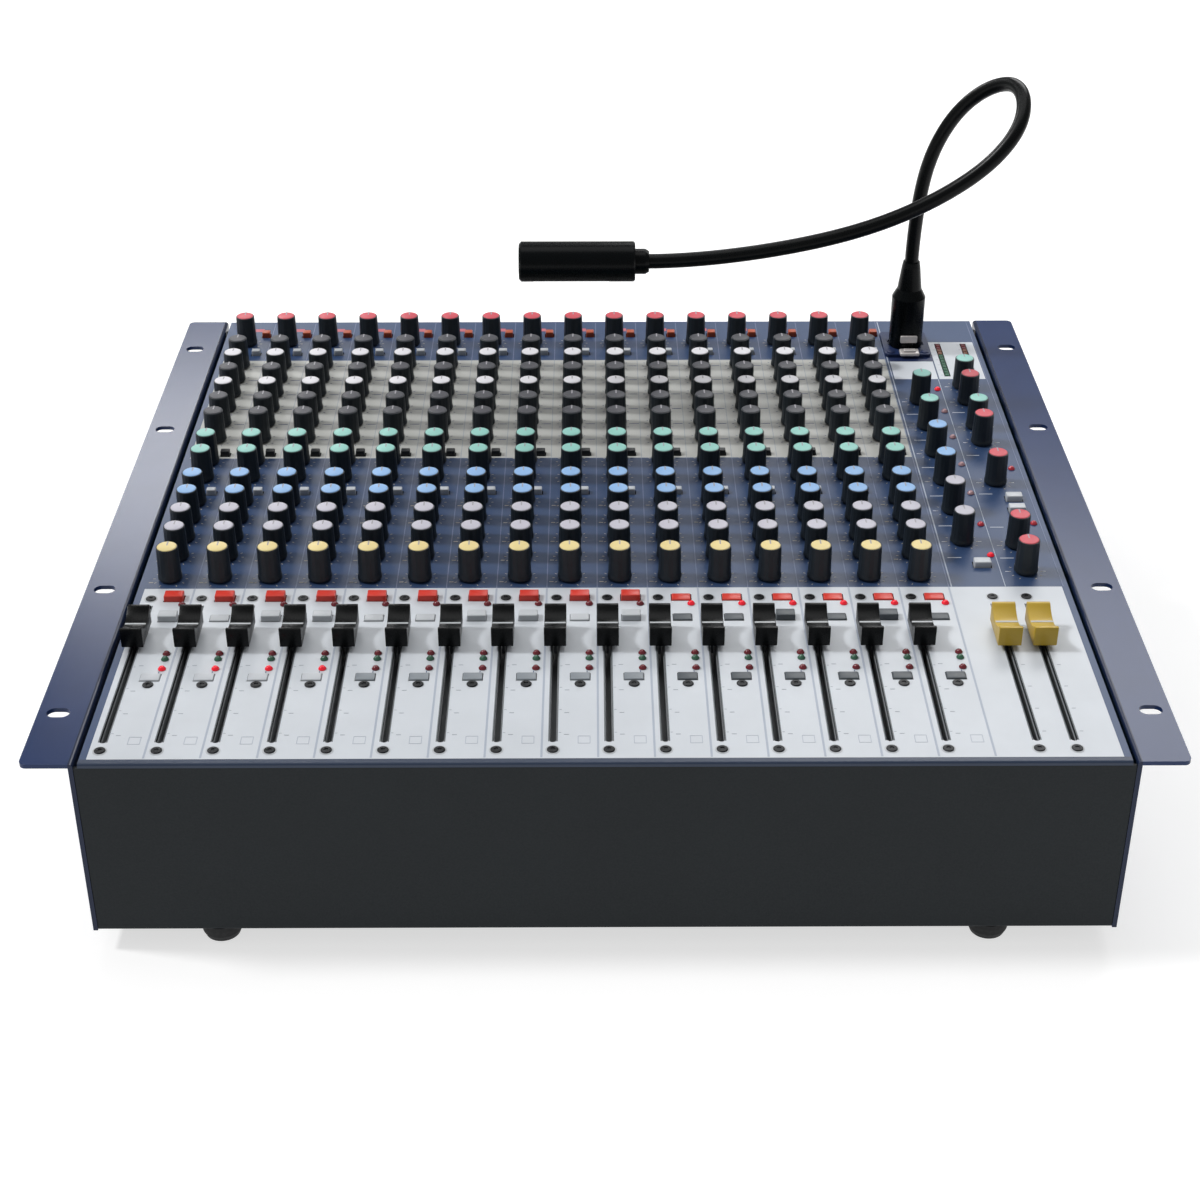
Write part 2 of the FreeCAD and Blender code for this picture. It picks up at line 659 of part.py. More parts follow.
def cut_pointer(body, name):
    """The pointer groove across half of a knob's top."""
    pointer = new_sketch(body, name, "XY_Plane", "Dimensions.knob_top")
    draw_rectangle(pointer, "0", "Dimensions.knob_cap / 4", 0.9, "Dimensions.knob_cap / 2 - 0.4")
    add_pocket(body, pointer, f"{name}_cut", 0.5, both_ways=False)


def knob_pieces():
    """A knob body with a bore, its coloured insert with a pointer groove, and the shaft."""
    top, cap = dim("knob_top"), dim("knob_cap") / 2
    bore = dim("shaft_diameter") / 2 + 0.1
    seat = [(cap + 0.05, top - 0.6), (cap + 0.05, top - 2.0), (bore, top - 2.0)]
    shell = turned_body("knob_shell", [(bore, 0.8)] + knob_side() + seat)
    insert = turned_body("knob_insert", [(0, top - 1.9), (cap, top - 1.9)] + knob_crown(cap))
    cut_pointer(insert, "pointer")
    shaft = doc.addObject("Part::Cylinder", "knob_shaft")
    shaft.setExpression("Radius", "Dimensions.shaft_diameter / 2")
    shaft.setExpression("Height", f"Dimensions.knob_top - 2.3 + Dimensions.panel_thick + {SHAFT_REACH}")
    shaft.setExpression(".Placement.Base.z", f"-Dimensions.panel_thick - {SHAFT_REACH}")
    doc.recompute()
    return [shell, insert, shaft]


def make_knobs():
    """Channel 1's knobs as sub-parts of their own, and all the others as one group."""
    pieces = knob_pieces()
    for name, distance in CHANNEL_KNOBS.items():
        together(f"knob_{name}", pieces, "Dimensions.first_fader + Dimensions.knob_offset",
                 depth_formula(distance), PANEL_TOP_FORMULA)
    shaft, foot = dim("shaft_diameter") / 2, -dim("panel_thick") - SHAFT_REACH
    whole = turned_body("knob_in_one", [(0, foot), (shaft, foot), (shaft, 0.8)] + knob_side()
                        + knob_crown(dim("knob_cap") / 2))
    cut_pointer(whole, "whole_pointer")
    places = [(x + dim("knob_offset"), across_panel(distance), PANEL_TOP)
              for x in CHANNEL_SLOTS[1:] for distance in CHANNEL_KNOBS.values()]
    places += [(x, across_panel(distance), PANEL_TOP) for x, distance in MASTER_KNOBS]
    return repeated("fixed_knobs", [(whole, places)])


def button_cap(name, width, depth):
    """A push-button cap with a bevelled top and a stem down to its switch."""
    body = new_body(name)
    face = new_sketch(body, f"{name}_face", "XY_Plane", -dim("panel_thick"))
    draw_rectangle(face, "0", "0", width, depth)
    add_pad(body, face, f"{name}_block", f"{BUTTON_HEIGHT} + Dimensions.panel_thick")
    round_edges(body, f"{name}_bevel", 0.5, lambda e: at_height(e, BUTTON_HEIGHT))
    stem = new_sketch(body, f"{name}_stem", "XY_Plane", -dim("panel_thick"))
    draw_rectangle(stem, "0", "0", 2.4, 2.4)
    add_pad(body, stem, f"{name}_post", 1.2, flipped=True)
    return body


def make_buttons():
    """Channel 1's push buttons as sub-parts, then every switch body and the other caps as one group."""
    caps = {}
    for name, (distance, offset, width, depth) in CHANNEL_BUTTONS.items():
        size = (width, depth)
        if size not in caps:
            caps[size] = button_cap(f"cap_{len(caps) + 1}", width, depth)
        together(f"button_{name}", [caps[size]], f"Dimensions.first_fader + {offset}",
                 depth_formula(distance), PANEL_TOP_FORMULA)
    switch = doc.addObject("Part::Box", "switch_block")
    switch.Length = switch.Width = SWITCH_BLOCK
    switch.setExpression("Height", f"Dimensions.board_drop - Dimensions.panel_thick - {SWITCH_DROP}")
    switch.Placement.Base = Vector(-SWITCH_BLOCK / 2, -SWITCH_BLOCK / 2, 0)
    doc.recompute()
    cap_sets = []
    switch_places = []
    for distance, offset, width, depth in CHANNEL_BUTTONS.values():
        y = across_panel(distance)
        cap_sets.append((caps[(width, depth)], [(x + offset, y, PANEL_TOP) for x in CHANNEL_SLOTS[1:]]))
        switch_places += [(x + offset, y, BOARD_TOP) for x in CHANNEL_SLOTS]
    cap_sets.append((caps[MASTER_BUTTON], [(x, across_panel(y), PANEL_TOP) for x, y in MASTER_BUTTONS]))
    switch_places += [(x, across_panel(y), BOARD_TOP) for x, y in MASTER_BUTTONS]
    return repeated("push_switches", cap_sets + [(switch, switch_places)])


def fader_pieces(name, width, length):
    """A saddle-topped fader cap, the metal lever in its pocket, and the carriage on the lever's foot."""
    top, gap = dim("fader_cap_top"), dim("fader_cap_gap")
    cap = new_body(f"{name}_cap")
    profile = new_sketch(cap, f"{name}_profile", "YZ_Plane")
    half, lip, dip = length / 2, 1.6, 3.8
    points = [Vector(-half, gap, 0), Vector(half, gap, 0), Vector(half, top, 0),
              Vector(half - lip, top, 0), Vector(lip - half, top, 0), Vector(-half, top, 0)]
    lines = [(0, 1), (1, 2), (2, 3), (4, 5), (5, 0)]
    profile.addGeometry([Part.LineSegment(points[a], points[b]) for a, b in lines])
    scoop = Part.Arc(points[3], Vector(0, top - dip, 0), points[4])
    profile.addGeometry(scoop)
    add_pad(cap, profile, f"{name}_block", width, both_ways=True)
    round_edges(cap, f"{name}_soft", 0.6,
                lambda e: at_height(e, top) and all(abs(abs(v.Y) - half) < 0.01 for v in e.Vertexes))
    pocket = new_sketch(cap, f"{name}_mouth", "XY_Plane", gap)
    draw_rectangle(pocket, "0", "0", LEVER[0] + 0.2, LEVER[1] + 0.2)
    add_pocket(cap, pocket, f"{name}_mouth_cut", 5.2, both_ways=False, flipped=True)
    lever = doc.addObject("Part::Box", f"{name}_lever")
    lever.Length, lever.Width = LEVER
    lever.setExpression("Height", f"Dimensions.fader_cap_gap + 5 + {CARRIAGE_TOP}")
    lever.setExpression(".Placement.Base.x", str(-LEVER[0] / 2))
    lever.setExpression(".Placement.Base.y", str(-LEVER[1] / 2))
    lever.setExpression(".Placement.Base.z", str(-CARRIAGE_TOP))
    carriage = doc.addObject("Part::Box", f"{name}_carriage")
    carriage.Length, carriage.Width, carriage.Height = CARRIAGE
    carriage.Placement.Base = Vector(-CARRIAGE[0] / 2, -CARRIAGE[1] / 2, -CARRIAGE_TOP - CARRIAGE[2] - 0.1)
    doc.recompute()
    return [cap, lever, carriage]


def make_faders():
    """Eighteen fader levers with their caps, and the tracks they run in."""
    channel = fader_pieces("channel_fader", dim("fader_cap_width"), dim("fader_cap_length"))
    master = fader_pieces("master_fader", dim("fader_cap_width") + 0.7, dim("fader_cap_length") + 1)
    rest = depth_formula("Dimensions.fader_rest")
    for n in range(len(CHANNEL_SLOTS)):
        x = f"Dimensions.first_fader + {n} * Dimensions.channel_pitch"
        together(f"fader_{n + 1:02d}", channel, x, rest, PANEL_TOP_FORMULA)
    for side in ("left", "right"):
        together(f"fader_master_{side}", master, f"Dimensions.{side}_master", rest, PANEL_TOP_FORMULA)

    track = new_body("fader_track")
    foot = new_sketch(track, "track_outline", "XY_Plane")
    draw_rectangle(foot, "0", "0", TRACK[0], TRACK[1])
    height = f"Dimensions.board_drop - Dimensions.panel_thick - {TRACK_DROP}"
    add_pad(track, foot, "track_block", height)
    mouth = new_sketch(track, "track_mouth", "XY_Plane", height)
    draw_rectangle(mouth, "0", "0", LEVER[0] + 1.2, "Dimensions.fader_travel + 7")
    add_pocket(track, mouth, "track_mouth_cut", 8.0, both_ways=False)
    tunnel = new_sketch(track, "track_tunnel", "XZ_Plane")
    room = dim("board_drop") - CARRIAGE_TOP - CARRIAGE[2] / 2 - 0.1
    draw_rectangle(tunnel, "0", room, CARRIAGE[0] + 1.0, CARRIAGE[2] + 1.0)
    add_pocket(track, tunnel, "track_tunnel_cut", "Dimensions.fader_travel + 12")
    holes = new_sketch(track, "track_holes", "XY_Plane", height)
    for sign in "+-":
        draw_circle(holes, "0", f"0 {sign} Dimensions.fader_screw_pitch / 2", SCREW_HOLE / 2)
    add_pocket(track, holes, "track_holes_cut", 4.0, both_ways=False)
    middle = across_panel(dim("fader_middle"))
    return repeated("fader_tracks", [(track, [(x, middle, BOARD_TOP) for x in FADER_SLOTS])])


def make_potentiometers():
    """A potentiometer body under each knob, standing on the board."""
    pot = doc.addObject("Part::Box", "potentiometer_block")
    pot.Length, pot.Width = POT_BLOCK
    pot.setExpression("Height", f"Dimensions.board_drop - Dimensions.panel_thick - {POT_DROP}")
    pot.Placement.Base = Vector(-POT_BLOCK[0] / 2, -POT_BLOCK[1] / 2, 0)
    doc.recompute()
    places = [(x + dim("knob_offset"), across_panel(distance), BOARD_TOP)
              for x in CHANNEL_SLOTS for distance in CHANNEL_KNOBS.values()]
    places += [(x, across_panel(distance), BOARD_TOP) for x, distance in MASTER_KNOBS]
    return repeated("potentiometers", [(pot, places)])


def make_lamps():
    """LEDs in the panel and the segments of the two level meters."""
    led = turned_body("led", [
        (0, -4.0),
        (1.4, -4.0),
        (1.4, 0.7),
        (1.0, 1.4),
        (0, 1.7),
    ])
    segment = doc.addObject("Part::Box", "meter_segment")
    pitch = METER_LENGTH / METER_SEGMENTS
    segment.Length, segment.Width, segment.Height = METER_WIDTH, pitch - 0.6, 2.2
    segment.Placement.Base = Vector(-METER_WIDTH / 2, -(pitch - 0.6) / 2, -2.0)
    doc.recompute()
    leds = [(x + dim("lamp_offset"), across_panel(distance), PANEL_TOP)
            for x in CHANNEL_SLOTS for distance in CHANNEL_LAMPS]
    leds += [(x, across_panel(distance), PANEL_TOP) for x, distance in MASTER_LAMPS]
    first = METER_MIDDLE - METER_LENGTH / 2 + pitch / 2
    bars = [(x, across_panel(first + pitch * n), PANEL_TOP)
            for x in METER_COLUMNS for n in range(METER_SEGMENTS)]
    return repeated("indicator_lamps", [(led, leds), (segment, bars)])


def make_board():
    """One board under the whole panel, cut away for the lamp socket."""
    body = new_body("circuit_board_body")
    outline = new_sketch(body, "board_outline", "XY_Plane", BOARD_FORMULA)
    draw_rectangle(outline, "0", "-1", "Dimensions.panel_width - 6", "Dimensions.panel_depth - 32")
    add_pad(body, outline, "board_sheet", "Dimensions.board_thick", flipped=True)
    hole = new_sketch(body, "board_hole", "XY_Plane", BOARD_FORMULA)
    draw_circle(hole, "Dimensions.lamp_x", depth_formula("Dimensions.lamp_y"), SOCKET_HOLE / 2 + 1)
    add_pocket(body, hole, "board_hole_cut")
    return keep(body, "circuit_board")


def socket_body(name, depth):
    """A panel socket, mouth upwards: square flange, round barrel behind it, contacts in its face."""
    body = new_body(name)
    flange = new_sketch(body, f"{name}_flange", "XY_Plane")
    draw_rectangle(flange, "0", "0", 26.0, 31.0)
    add_pad(body, flange, f"{name}_plate", SOCKET_PLATE)

    def is_upright(edge):
        a, b = edge.Vertexes[0].Point, edge.Vertexes[-1].Point
        return abs(a.x - b.x) < 0.01 and abs(a.y - b.y) < 0.01

    round_edges(body, f"{name}_corners", 2.5, is_upright)
    barrel = new_sketch(body, f"{name}_barrel", "XY_Plane")
    draw_circle(barrel, "0", "0", SOCKET_HOLE / 2 - 0.4)
    add_pad(body, barrel, f"{name}_back", depth, flipped=True)
    return body


def make_xlr_sockets():
    """Female microphone sockets, male output sockets with pins in a cup, and the lamp's socket."""
    female = socket_body("female_socket", 20.0)
    groove = new_sketch(female, "female_groove", "XY_Plane", SOCKET_PLATE)
    draw_circle(groove, "0", "0", 10.2)
    draw_circle(groove, "0", "0", 8.4)
    add_pocket(female, groove, "female_groove_cut", 1.2, both_ways=False)
    contacts = new_sketch(female, "female_contacts", "XY_Plane", SOCKET_PLATE)
    for x, y in CONTACTS:
        draw_circle(contacts, x, y, 1.35)
    add_pocket(female, contacts, "female_contact_cut", 10.0, both_ways=False)

    male = socket_body("male_socket", 20.0)
    cup = new_sketch(male, "male_cup", "XY_Plane", SOCKET_PLATE)
    draw_circle(cup, "0", "0", 9.4)
    add_pocket(male, cup, "male_cup_cut", 16.0, both_ways=False)
    pins = new_sketch(male, "male_pins", "XY_Plane", "-14.2")
    for x, y in CONTACTS:
        draw_circle(pins, x, y, 1.2)
    add_pad(male, pins, "male_pin_set", 9.0)

    backward = Rotation(Vector(1, 0, 0), -90)
    mics = [Placement(Vector(x, REAR_FACE + 0.1, z), backward) for x, z in MIC_PLACES]
    outs = [Placement(Vector(x, REAR_FACE + 0.1, z), backward) for x, z in OUTPUT_PLACES]
    lamp = Placement(Vector(dim("lamp_x"), across_panel(dim("lamp_y")), PANEL_TOP + 0.1), Rotation())
    return repeated("xlr_sockets", [(female, mics + [lamp]), (male, outs)])


def make_jack_sockets():
    """Jack sockets: a threaded nose with a nut outside the panel, a block inside."""
    body = new_body("jack")
    block = new_sketch(body, "jack_block", "XY_Plane", -dim("tray_thick") - 0.3)
    draw_rectangle(block, "0", "0", 15.0, 15.0)
    add_pad(body, block, "jack_block_pad", 24.0, flipped=True)
    nose = new_sketch(body, "jack_nose", "XY_Plane", -dim("tray_thick") - 0.3)
    draw_circle(nose, "0", "0", JACK_NOSE / 2)
    add_pad(body, nose, "jack_nose_pad", dim("tray_thick") + 4.3)
    nut = new_sketch(body, "jack_nut", "XY_Plane", "0.2")
    turns = [math.radians(60 * n) for n in range(6)]
    draw_outline(nut, [(round(8.1 * math.cos(a), 4), round(8.1 * math.sin(a), 4)) for a in turns])
    add_pad(body, nut, "jack_nut_pad", 2.4)
    bore = new_sketch(body, "jack_bore", "XY_Plane", "4")
    draw_circle(bore, "0", "0", 3.3)
    add_pocket(body, bore, "jack_bore_cut", 26.0, both_ways=False)
    backward = Rotation(Vector(1, 0, 0), -90)
    places = [Placement(Vector(x, REAR_FACE, z), backward) for x, z in JACK_PLACES]
    return repeated("jack_sockets", [(body, places)])


def make_mains():
    """Mains inlet with three blades in its well, and the frame that the rocker switch sits in."""
    inlet = new_body("inlet")
    flange = new_sketch(inlet, "inlet_flange", "XZ_Plane")
    draw_rectangle(flange, "0", "0", 32.0, 24.0)
    add_pad(inlet, flange, "inlet_plate", 2.0, flipped=True)
    body_face = new_sketch(inlet, "inlet_body", "XZ_Plane")
    draw_rectangle(body_face, "0", "0", INLET_SIZE[0], INLET_SIZE[1])
    add_pad(inlet, body_face, "inlet_block", 22.0)
    well = new_sketch(inlet, "inlet_well", "XZ_Plane", "-2")
    draw_rectangle(well, "0", "0", 24.0, 16.4)
    add_pocket(inlet, well, "inlet_well_cut", 19.0, both_ways=False, flipped=True)
    blades = new_sketch(inlet, "inlet_blades", "XZ_Plane", "17.0")
    for x, z in ((-7.0, -2.0), (7.0, -2.0), (0.0, 2.0)):
        draw_rectangle(blades, x, z, 2.0, 4.0)
    add_pad(inlet, blades, "inlet_blade_set", 12.0, flipped=True)
    inlet.Placement.Base = Vector(INLET_PLACE[0], REAR_FACE + 0.1, INLET_PLACE[1])

    frame = new_body("switch_frame")
    bezel = new_sketch(frame, "switch_bezel", "XZ_Plane")
    draw_rectangle(bezel, "0", "0", SWITCH_SIZE[0] + 3, SWITCH_SIZE[1] + 3)
    draw_rectangle(bezel, "0", "0", SWITCH_SIZE[0] - 3.2, SWITCH_SIZE[1] - 1.4)
    add_pad(frame, bezel, "switch_bezel_pad", 1.2, flipped=True)
    walls = new_sketch(frame, "switch_walls", "XZ_Plane")
    draw_rectangle(walls, "0", "0", SWITCH_SIZE[0], SWITCH_SIZE[1])
    draw_rectangle(walls, "0", "0", SWITCH_SIZE[0] - 3.2, SWITCH_SIZE[1] - 1.4)
    add_pad(frame, walls, "switch_wall_pad", 14.0)
    frame.Placement.Base = Vector(SWITCH_PLACE[0], REAR_FACE + 0.1, SWITCH_PLACE[1])
    together("mains_inlet", [inlet, frame])


def make_power_switch():
    """The rocker: round about its pivot so that it turns inside its frame, with a shallow V for a face."""
    drum = doc.addObject("Part::Cylinder", "rocker_drum")
    drum.Radius = SWITCH_SIZE[1] / 2 - 0.9
    drum.Height = SWITCH_SIZE[0] - 4.0
    drum.Placement = Placement(Vector(-drum.Height.Value / 2, 0, 0), Rotation(Vector(0, 1, 0), 90))
    wedge = new_body("rocker_wedge")
    profile = new_sketch(wedge, "rocker_profile", "YZ_Plane")
    draw_outline(profile, [(-8.0, -8.0), (3.9, -8.0), (2.4, 0.0), (3.9, 8.0), (-8.0, 8.0)])
    add_pad(wedge, profile, "rocker_block", SWITCH_SIZE[0], both_ways=True)
    rocker = doc.addObject("Part::Common", "rocker")
    rocker.Base = drum
    rocker.Tool = wedge
    rocker.Placement = Placement(Vector(SWITCH_PLACE[0], REAR_FACE - 0.5, SWITCH_PLACE[1]),
                                 Rotation(Vector(1, 0, 0), -ROCKER_TILT))
    return keep(rocker, "power_switch")


def make_power_supply():
    """The supply's closed case, standing on the base behind the mains inlet."""
    supply = new_body("supply")
    case = new_sketch(supply, "supply_case", "XY_Plane")
    draw_rectangle(case, "0", "0", SUPPLY_SIZE[0], SUPPLY_SIZE[1])
    add_pad(supply, case, "supply_block", SUPPLY_SIZE[2])
    round_edges(supply, "supply_soft", 2.0, lambda e: at_height(e, SUPPLY_SIZE[2]))
    supply.Placement.Base = Vector(150.0, 110.0, dim("foot_height") + dim("tray_thick") + dim("fit_gap"))
    return keep(supply, "power_supply")


def neck_path(points):
    """Straight runs joined by tangent arcs, each as large as its two runs allow."""
    corners = [Vector(*p) for p in points]
    edges = []
    start = corners[0]
    for before, corner, after in zip(corners, corners[1:], corners[2:]):
        back, ahead = before - corner, after - corner
        reach = 0.45 * min(back.Length, ahead.Length)
        back.normalize()
        ahead.normalize()
        half_turn = (math.pi - back.getAngle(ahead)) / 2
        radius = reach / math.tan(half_turn)
        print(f"neck arc radius {radius:.1f} mm, turn {math.degrees(2 * half_turn):.1f} degrees")
        into, out = corner + back * reach, corner + ahead * reach
        inward = back + ahead
        inward.normalize()
        centre = corner + inward * (radius / math.cos(half_turn))
        edges.append(Part.LineSegment(start, into).toShape())
        edges.append(Part.Arc(into, centre - inward * radius, out).toShape())
        start = out
    edges.append(Part.LineSegment(start, corners[-1]).toShape())
    return Part.Wire(edges)


def make_lamp():
    """The locking plug, the gooseneck and the head with its window."""
    plug = turned_body("plug", [
        (0, 2.0),
        (9.4, 2.0),
        (9.4, 31.0),
        (6.8, 36.0),
        (5.2, PLUG_HEIGHT - 3),
        (4.6, PLUG_HEIGHT),
        (0, PLUG_HEIGHT),
    ])
    plug.setExpression(".Placement.Base.x", "Dimensions.lamp_x")
    plug.setExpression(".Placement.Base.y", depth_formula("Dimensions.lamp_y"))
    plug.setExpression(".Placement.Base.z", PANEL_TOP_FORMULA)
    keep(plug, "lamp_plug")

    path = neck_path(NECK_ROUTE)
    radius = dim("lamp_neck") / 2
    section = Part.Wire([Part.makeCircle(radius, Vector(*NECK_ROUTE[0]), Vector(0, 0, 1))])
    neck = doc.addObject("Part::Feature", "neck")
    neck.Shape = path.makePipeShell([section], True, False)
    ratio = neck.Shape.Volume / (math.pi * radius ** 2 * path.Length)
    print(f"neck {path.Length:.1f} mm long, volume {ratio:.4f} of its section times length")
    keep(neck, "gooseneck")

    half, length = dim("lamp_head_diameter") / 2, dim("lamp_head_length")
    head = turned_body("head", [
        (0, 0.1),
        (5.4, 0.1),
        (6.6, 2.0),
        (6.6, COLLAR_LENGTH),
        (half - 0.8, COLLAR_LENGTH),
        (half, COLLAR_LENGTH + 0.8),
        (half, COLLAR_LENGTH + length - 1.2),
        (half - 1.2, COLLAR_LENGTH + length),
        (0, COLLAR_LENGTH + length),
    ])
    window = new_sketch(head, "window", "YZ_Plane", half)
    draw_rectangle(window, "0", COLLAR_LENGTH + length * 0.55, LENS_SIZE[1], LENS_SIZE[0])
    add_pocket(head, window, "window_cut", 5.0, both_ways=False)
    lens = doc.addObject("Part::Box", "lens")
    lens.Length, lens.Width, lens.Height = 1.6, LENS_SIZE[1] - 0.4, LENS_SIZE[0] - 0.4
    lens.Placement.Base = Vector(half - 4.8, -lens.Width.Value / 2,
                                 COLLAR_LENGTH + length * 0.55 - lens.Height.Value / 2)
    doc.recompute()
    lamp_head = together("lamp_head", [head, lens], *NECK_ROUTE[-1])
    lamp_head.Placement.Rotation = Rotation(Vector(0, 0, -1), Vector(0, -1, 0), Vector(-1, 0, 0), "ZXY")


def write_parts():
    """Checks every object, then writes each sub-part to its own file."""
    doc.recompute()
    failed = [o.Label for o in doc.Objects if {"Invalid", "Error"} & set(o.State)]
    if failed:
        raise RuntimeError(f"failed objects: {failed}")
    for node in nodes:
        if node.Shape.isNull() or not node.Shape.isValid():
            raise RuntimeError(f"bad shape: {node.Label}")
    os.makedirs("parts", exist_ok=True)
    for node in nodes:
        node.Shape.exportStep(f"parts/{node.Label}.step")
        print(f"{node.Label}: {len(node.Shape.Solids)} solids, {node.Shape.Volume / 1000:.1f} cm3")
    print(f"{len(nodes)} sub-parts")


def main():
    make_top_panel()
    make_side_plates()
    make_chassis_tray()
    make_rear_panel()
    make_feet()
    make_screws()
    make_knobs()
    make_buttons()
    make_faders()
    make_potentiometers()
    make_lamps()
    make_board()
    make_xlr_sockets()
    make_jack_sockets()
    make_mains()
    make_power_switch()
    make_power_supply()
    make_lamp()
    write_parts()


main()
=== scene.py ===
import math

import bmesh
import bpy
from mathutils import Matrix, Vector


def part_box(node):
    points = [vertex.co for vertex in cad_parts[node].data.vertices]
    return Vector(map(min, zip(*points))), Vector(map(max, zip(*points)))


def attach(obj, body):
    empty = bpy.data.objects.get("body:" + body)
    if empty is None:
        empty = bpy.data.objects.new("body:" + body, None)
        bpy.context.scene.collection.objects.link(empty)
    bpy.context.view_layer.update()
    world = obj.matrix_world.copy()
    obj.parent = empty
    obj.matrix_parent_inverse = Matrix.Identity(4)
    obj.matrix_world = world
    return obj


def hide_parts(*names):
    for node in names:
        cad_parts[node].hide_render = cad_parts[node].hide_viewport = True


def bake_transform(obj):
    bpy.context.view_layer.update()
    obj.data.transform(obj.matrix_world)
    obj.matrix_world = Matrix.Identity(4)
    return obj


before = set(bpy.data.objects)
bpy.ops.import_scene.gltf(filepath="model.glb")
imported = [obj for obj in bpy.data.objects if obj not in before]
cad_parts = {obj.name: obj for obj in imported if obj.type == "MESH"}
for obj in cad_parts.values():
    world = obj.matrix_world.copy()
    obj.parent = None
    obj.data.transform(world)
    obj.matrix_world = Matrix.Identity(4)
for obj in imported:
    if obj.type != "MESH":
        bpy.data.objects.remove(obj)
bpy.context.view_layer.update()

# Everything below is laid out in millimetres, on the panel's own drawing: x from the centre line, y from the
# front edge, z from the panel's face. place() turns that into the frame's millimetres.
MM = 0.001
PANEL_LOW, PANEL_HIGH = (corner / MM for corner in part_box("top_panel"))
CHANNELS = 16

# What the photograph shows: the first strips' solo LEDs are lit, and the last strips have darker wide caps
# and lit mute LEDs.
# Besides the lamps, this paints light on caps of one colour: the first strips' solo caps pale, a painted
# reflection, and the last strips' wide caps darker, a painted shade.
LAST_LIT_SOLO = 4
FIRST_DARK_STRIP = 11


def place(x, y, z=0.0):
    return Vector((x, y + PANEL_LOW.y, z + PANEL_HIGH.z))


def middle(node):
    """A node's middle, as the panel's drawing gives it."""
    low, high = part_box(node)
    centre = (low + high) / 2 / MM
    return centre - Vector((0, PANEL_LOW.y, PANEL_HIGH.z))


SLOTS = [middle(f"fader_{n:02d}").x for n in range(1, CHANNELS + 1)]
PITCH = (SLOTS[-1] - SLOTS[0]) / (CHANNELS - 1)
MASTER_SLOTS = [middle(f"fader_master_{side}").x for side in ("left", "right")]

# Knob rows: name in the frame, colour of the cap.
KNOB_ROWS = [
    ("gain", "cap_red"),
    ("treble", "cap_dark"),
    ("high_mid_frequency", "cap_white"),
    ("high_mid_gain", "cap_dark"),
    ("low_mid_frequency", "cap_white"),
    ("low_mid_gain", "cap_dark"),
    ("bass", "cap_dark"),
    ("aux_1", "cap_green"),
    ("aux_2", "cap_green"),
    ("aux_3", "cap_blue"),
    ("aux_4", "cap_blue"),
    ("aux_5", "cap_lilac"),
    ("aux_6", "cap_lilac"),
    ("pan", "cap_yellow"),
]
MASTER_KNOBS = [
    (173.4, 335.3, "cap_green"),
    (173.4, 304.7, "cap_green"),
    (173.4, 274.0, "cap_blue"),
    (173.4, 243.3, "cap_blue"),
    (173.4, 212.7, "cap_lilac"),
    (173.4, 182.0, "cap_lilac"),
    (199.4, 354.0, "cap_green"),
    (199.4, 334.7, "cap_red"),
    (199.4, 304.7, "cap_green"),
    (199.4, 286.5, "cap_red"),
    (199.4, 242.0, "cap_red"),
    (199.4, 178.0, "cap_red"),
    (199.4, 153.5, "cap_red"),
]
# Channel buttons: name in the frame, cap colour, width, depth, and the channels where it stands pressed.
BUTTONS = [
    ("phantom", "button_orange", 4.4, 4.4, ()),
    ("high_pass", "button_grey", 4.6, 3.6, ()),
    ("equaliser", "button_black", 4.6, 3.6, ()),
    ("pre_fade", "button_pale", 4.6, 3.6, ()),
    ("mute", "button_red", 8.8, 5.6, range(FIRST_DARK_STRIP, CHANNELS + 1)),
    ("mix", "button_grey", 8.6, 5.6, (2, 5, 6, 9, 11, 12, 14, 16)),
    ("solo", "button_slate", 8.6, 5.6, range(1, CHANNELS + 1)),
]
MASTER_BUTTONS = [(179.8, 159.6), (205.5, 213.0), (205.9, 224.7)]
MASTER_LEDS = [
    (185.3, 350.5, "led_lit"),
    (185.3, 323.0, "led_rose"),
    (185.3, 292.5, "led_rose"),
    (185.3, 261.5, "led_rose"),
    (185.3, 230.5, "led_rose"),
    (185.3, 198.5, "led_bright"),
    (185.3, 168.5, "led_lit"),
    (210.2, 256.8, "led_bright"),
    (211.4, 199.3, "led_bright"),
]
# A strip's LEDs stand this far right of its fader slot, at these distances from the front edge.
LED_OFFSET = 15.2
MUTE_LED, HIGH_LED, SIGNAL_LED, SOLO_LED = 125.0, 83.3, 78.9, 71.1

# The side plates are painted darker inside this distance from the centre line, in the groove beside the panel:
# painted shade in the groove.
GROOVE = 220.9

# How far a latched button stands in, and how high its cap stands otherwise. Grey and slate caps wider than
# WIDE_CAP are painted darker in the last strips: painted shade on caps of one colour.
PRESS = 2.3
CAP_TOP = 3.0
WIDE_CAP = 5.0

# The equaliser's knobs stand between these distances from the front edge.
EQUALISER = (275, 386)

# Fader caps: width and length. The master section's buttons: width and depth.
CHANNEL_FADER = (9.8, 21.5)
MASTER_FADER = (10.5, 22.5)
MASTER_BUTTON = (8.0, 5.0)

# Screws: at both ends of each fader, and one in each strip, right of its slot.
FADER_SCREWS = (9.5, 130.5)
STRIP_SCREW = (11.2, 58.6)
SIDE_SCREW_X, SIDE_SCREW_Z = 221.0, 24.0
SIDE_SCREWS = (-180.0, 0.0, 180.0)
REAR_SCREW_PITCH = 105.0
REAR_SCREW_HEIGHTS = (13.5, 90.0)

# Rear sockets, in the frame's millimetres: microphone and output sockets, and the jacks.
SOCKET_HEIGHTS = (33.0, 66.0)
SOCKET_LIP = 1.9
SOCKET_SCREW = (9.8, 12.6)
MICROPHONE_X, MICROPHONE_PITCH, MICROPHONES = -201.0, 31.0, 8
OUTPUT_X = 142.0
JACK_X, JACK_PITCH, JACKS, JACK_LIP = 49.0, 22.0, 4, 4.0

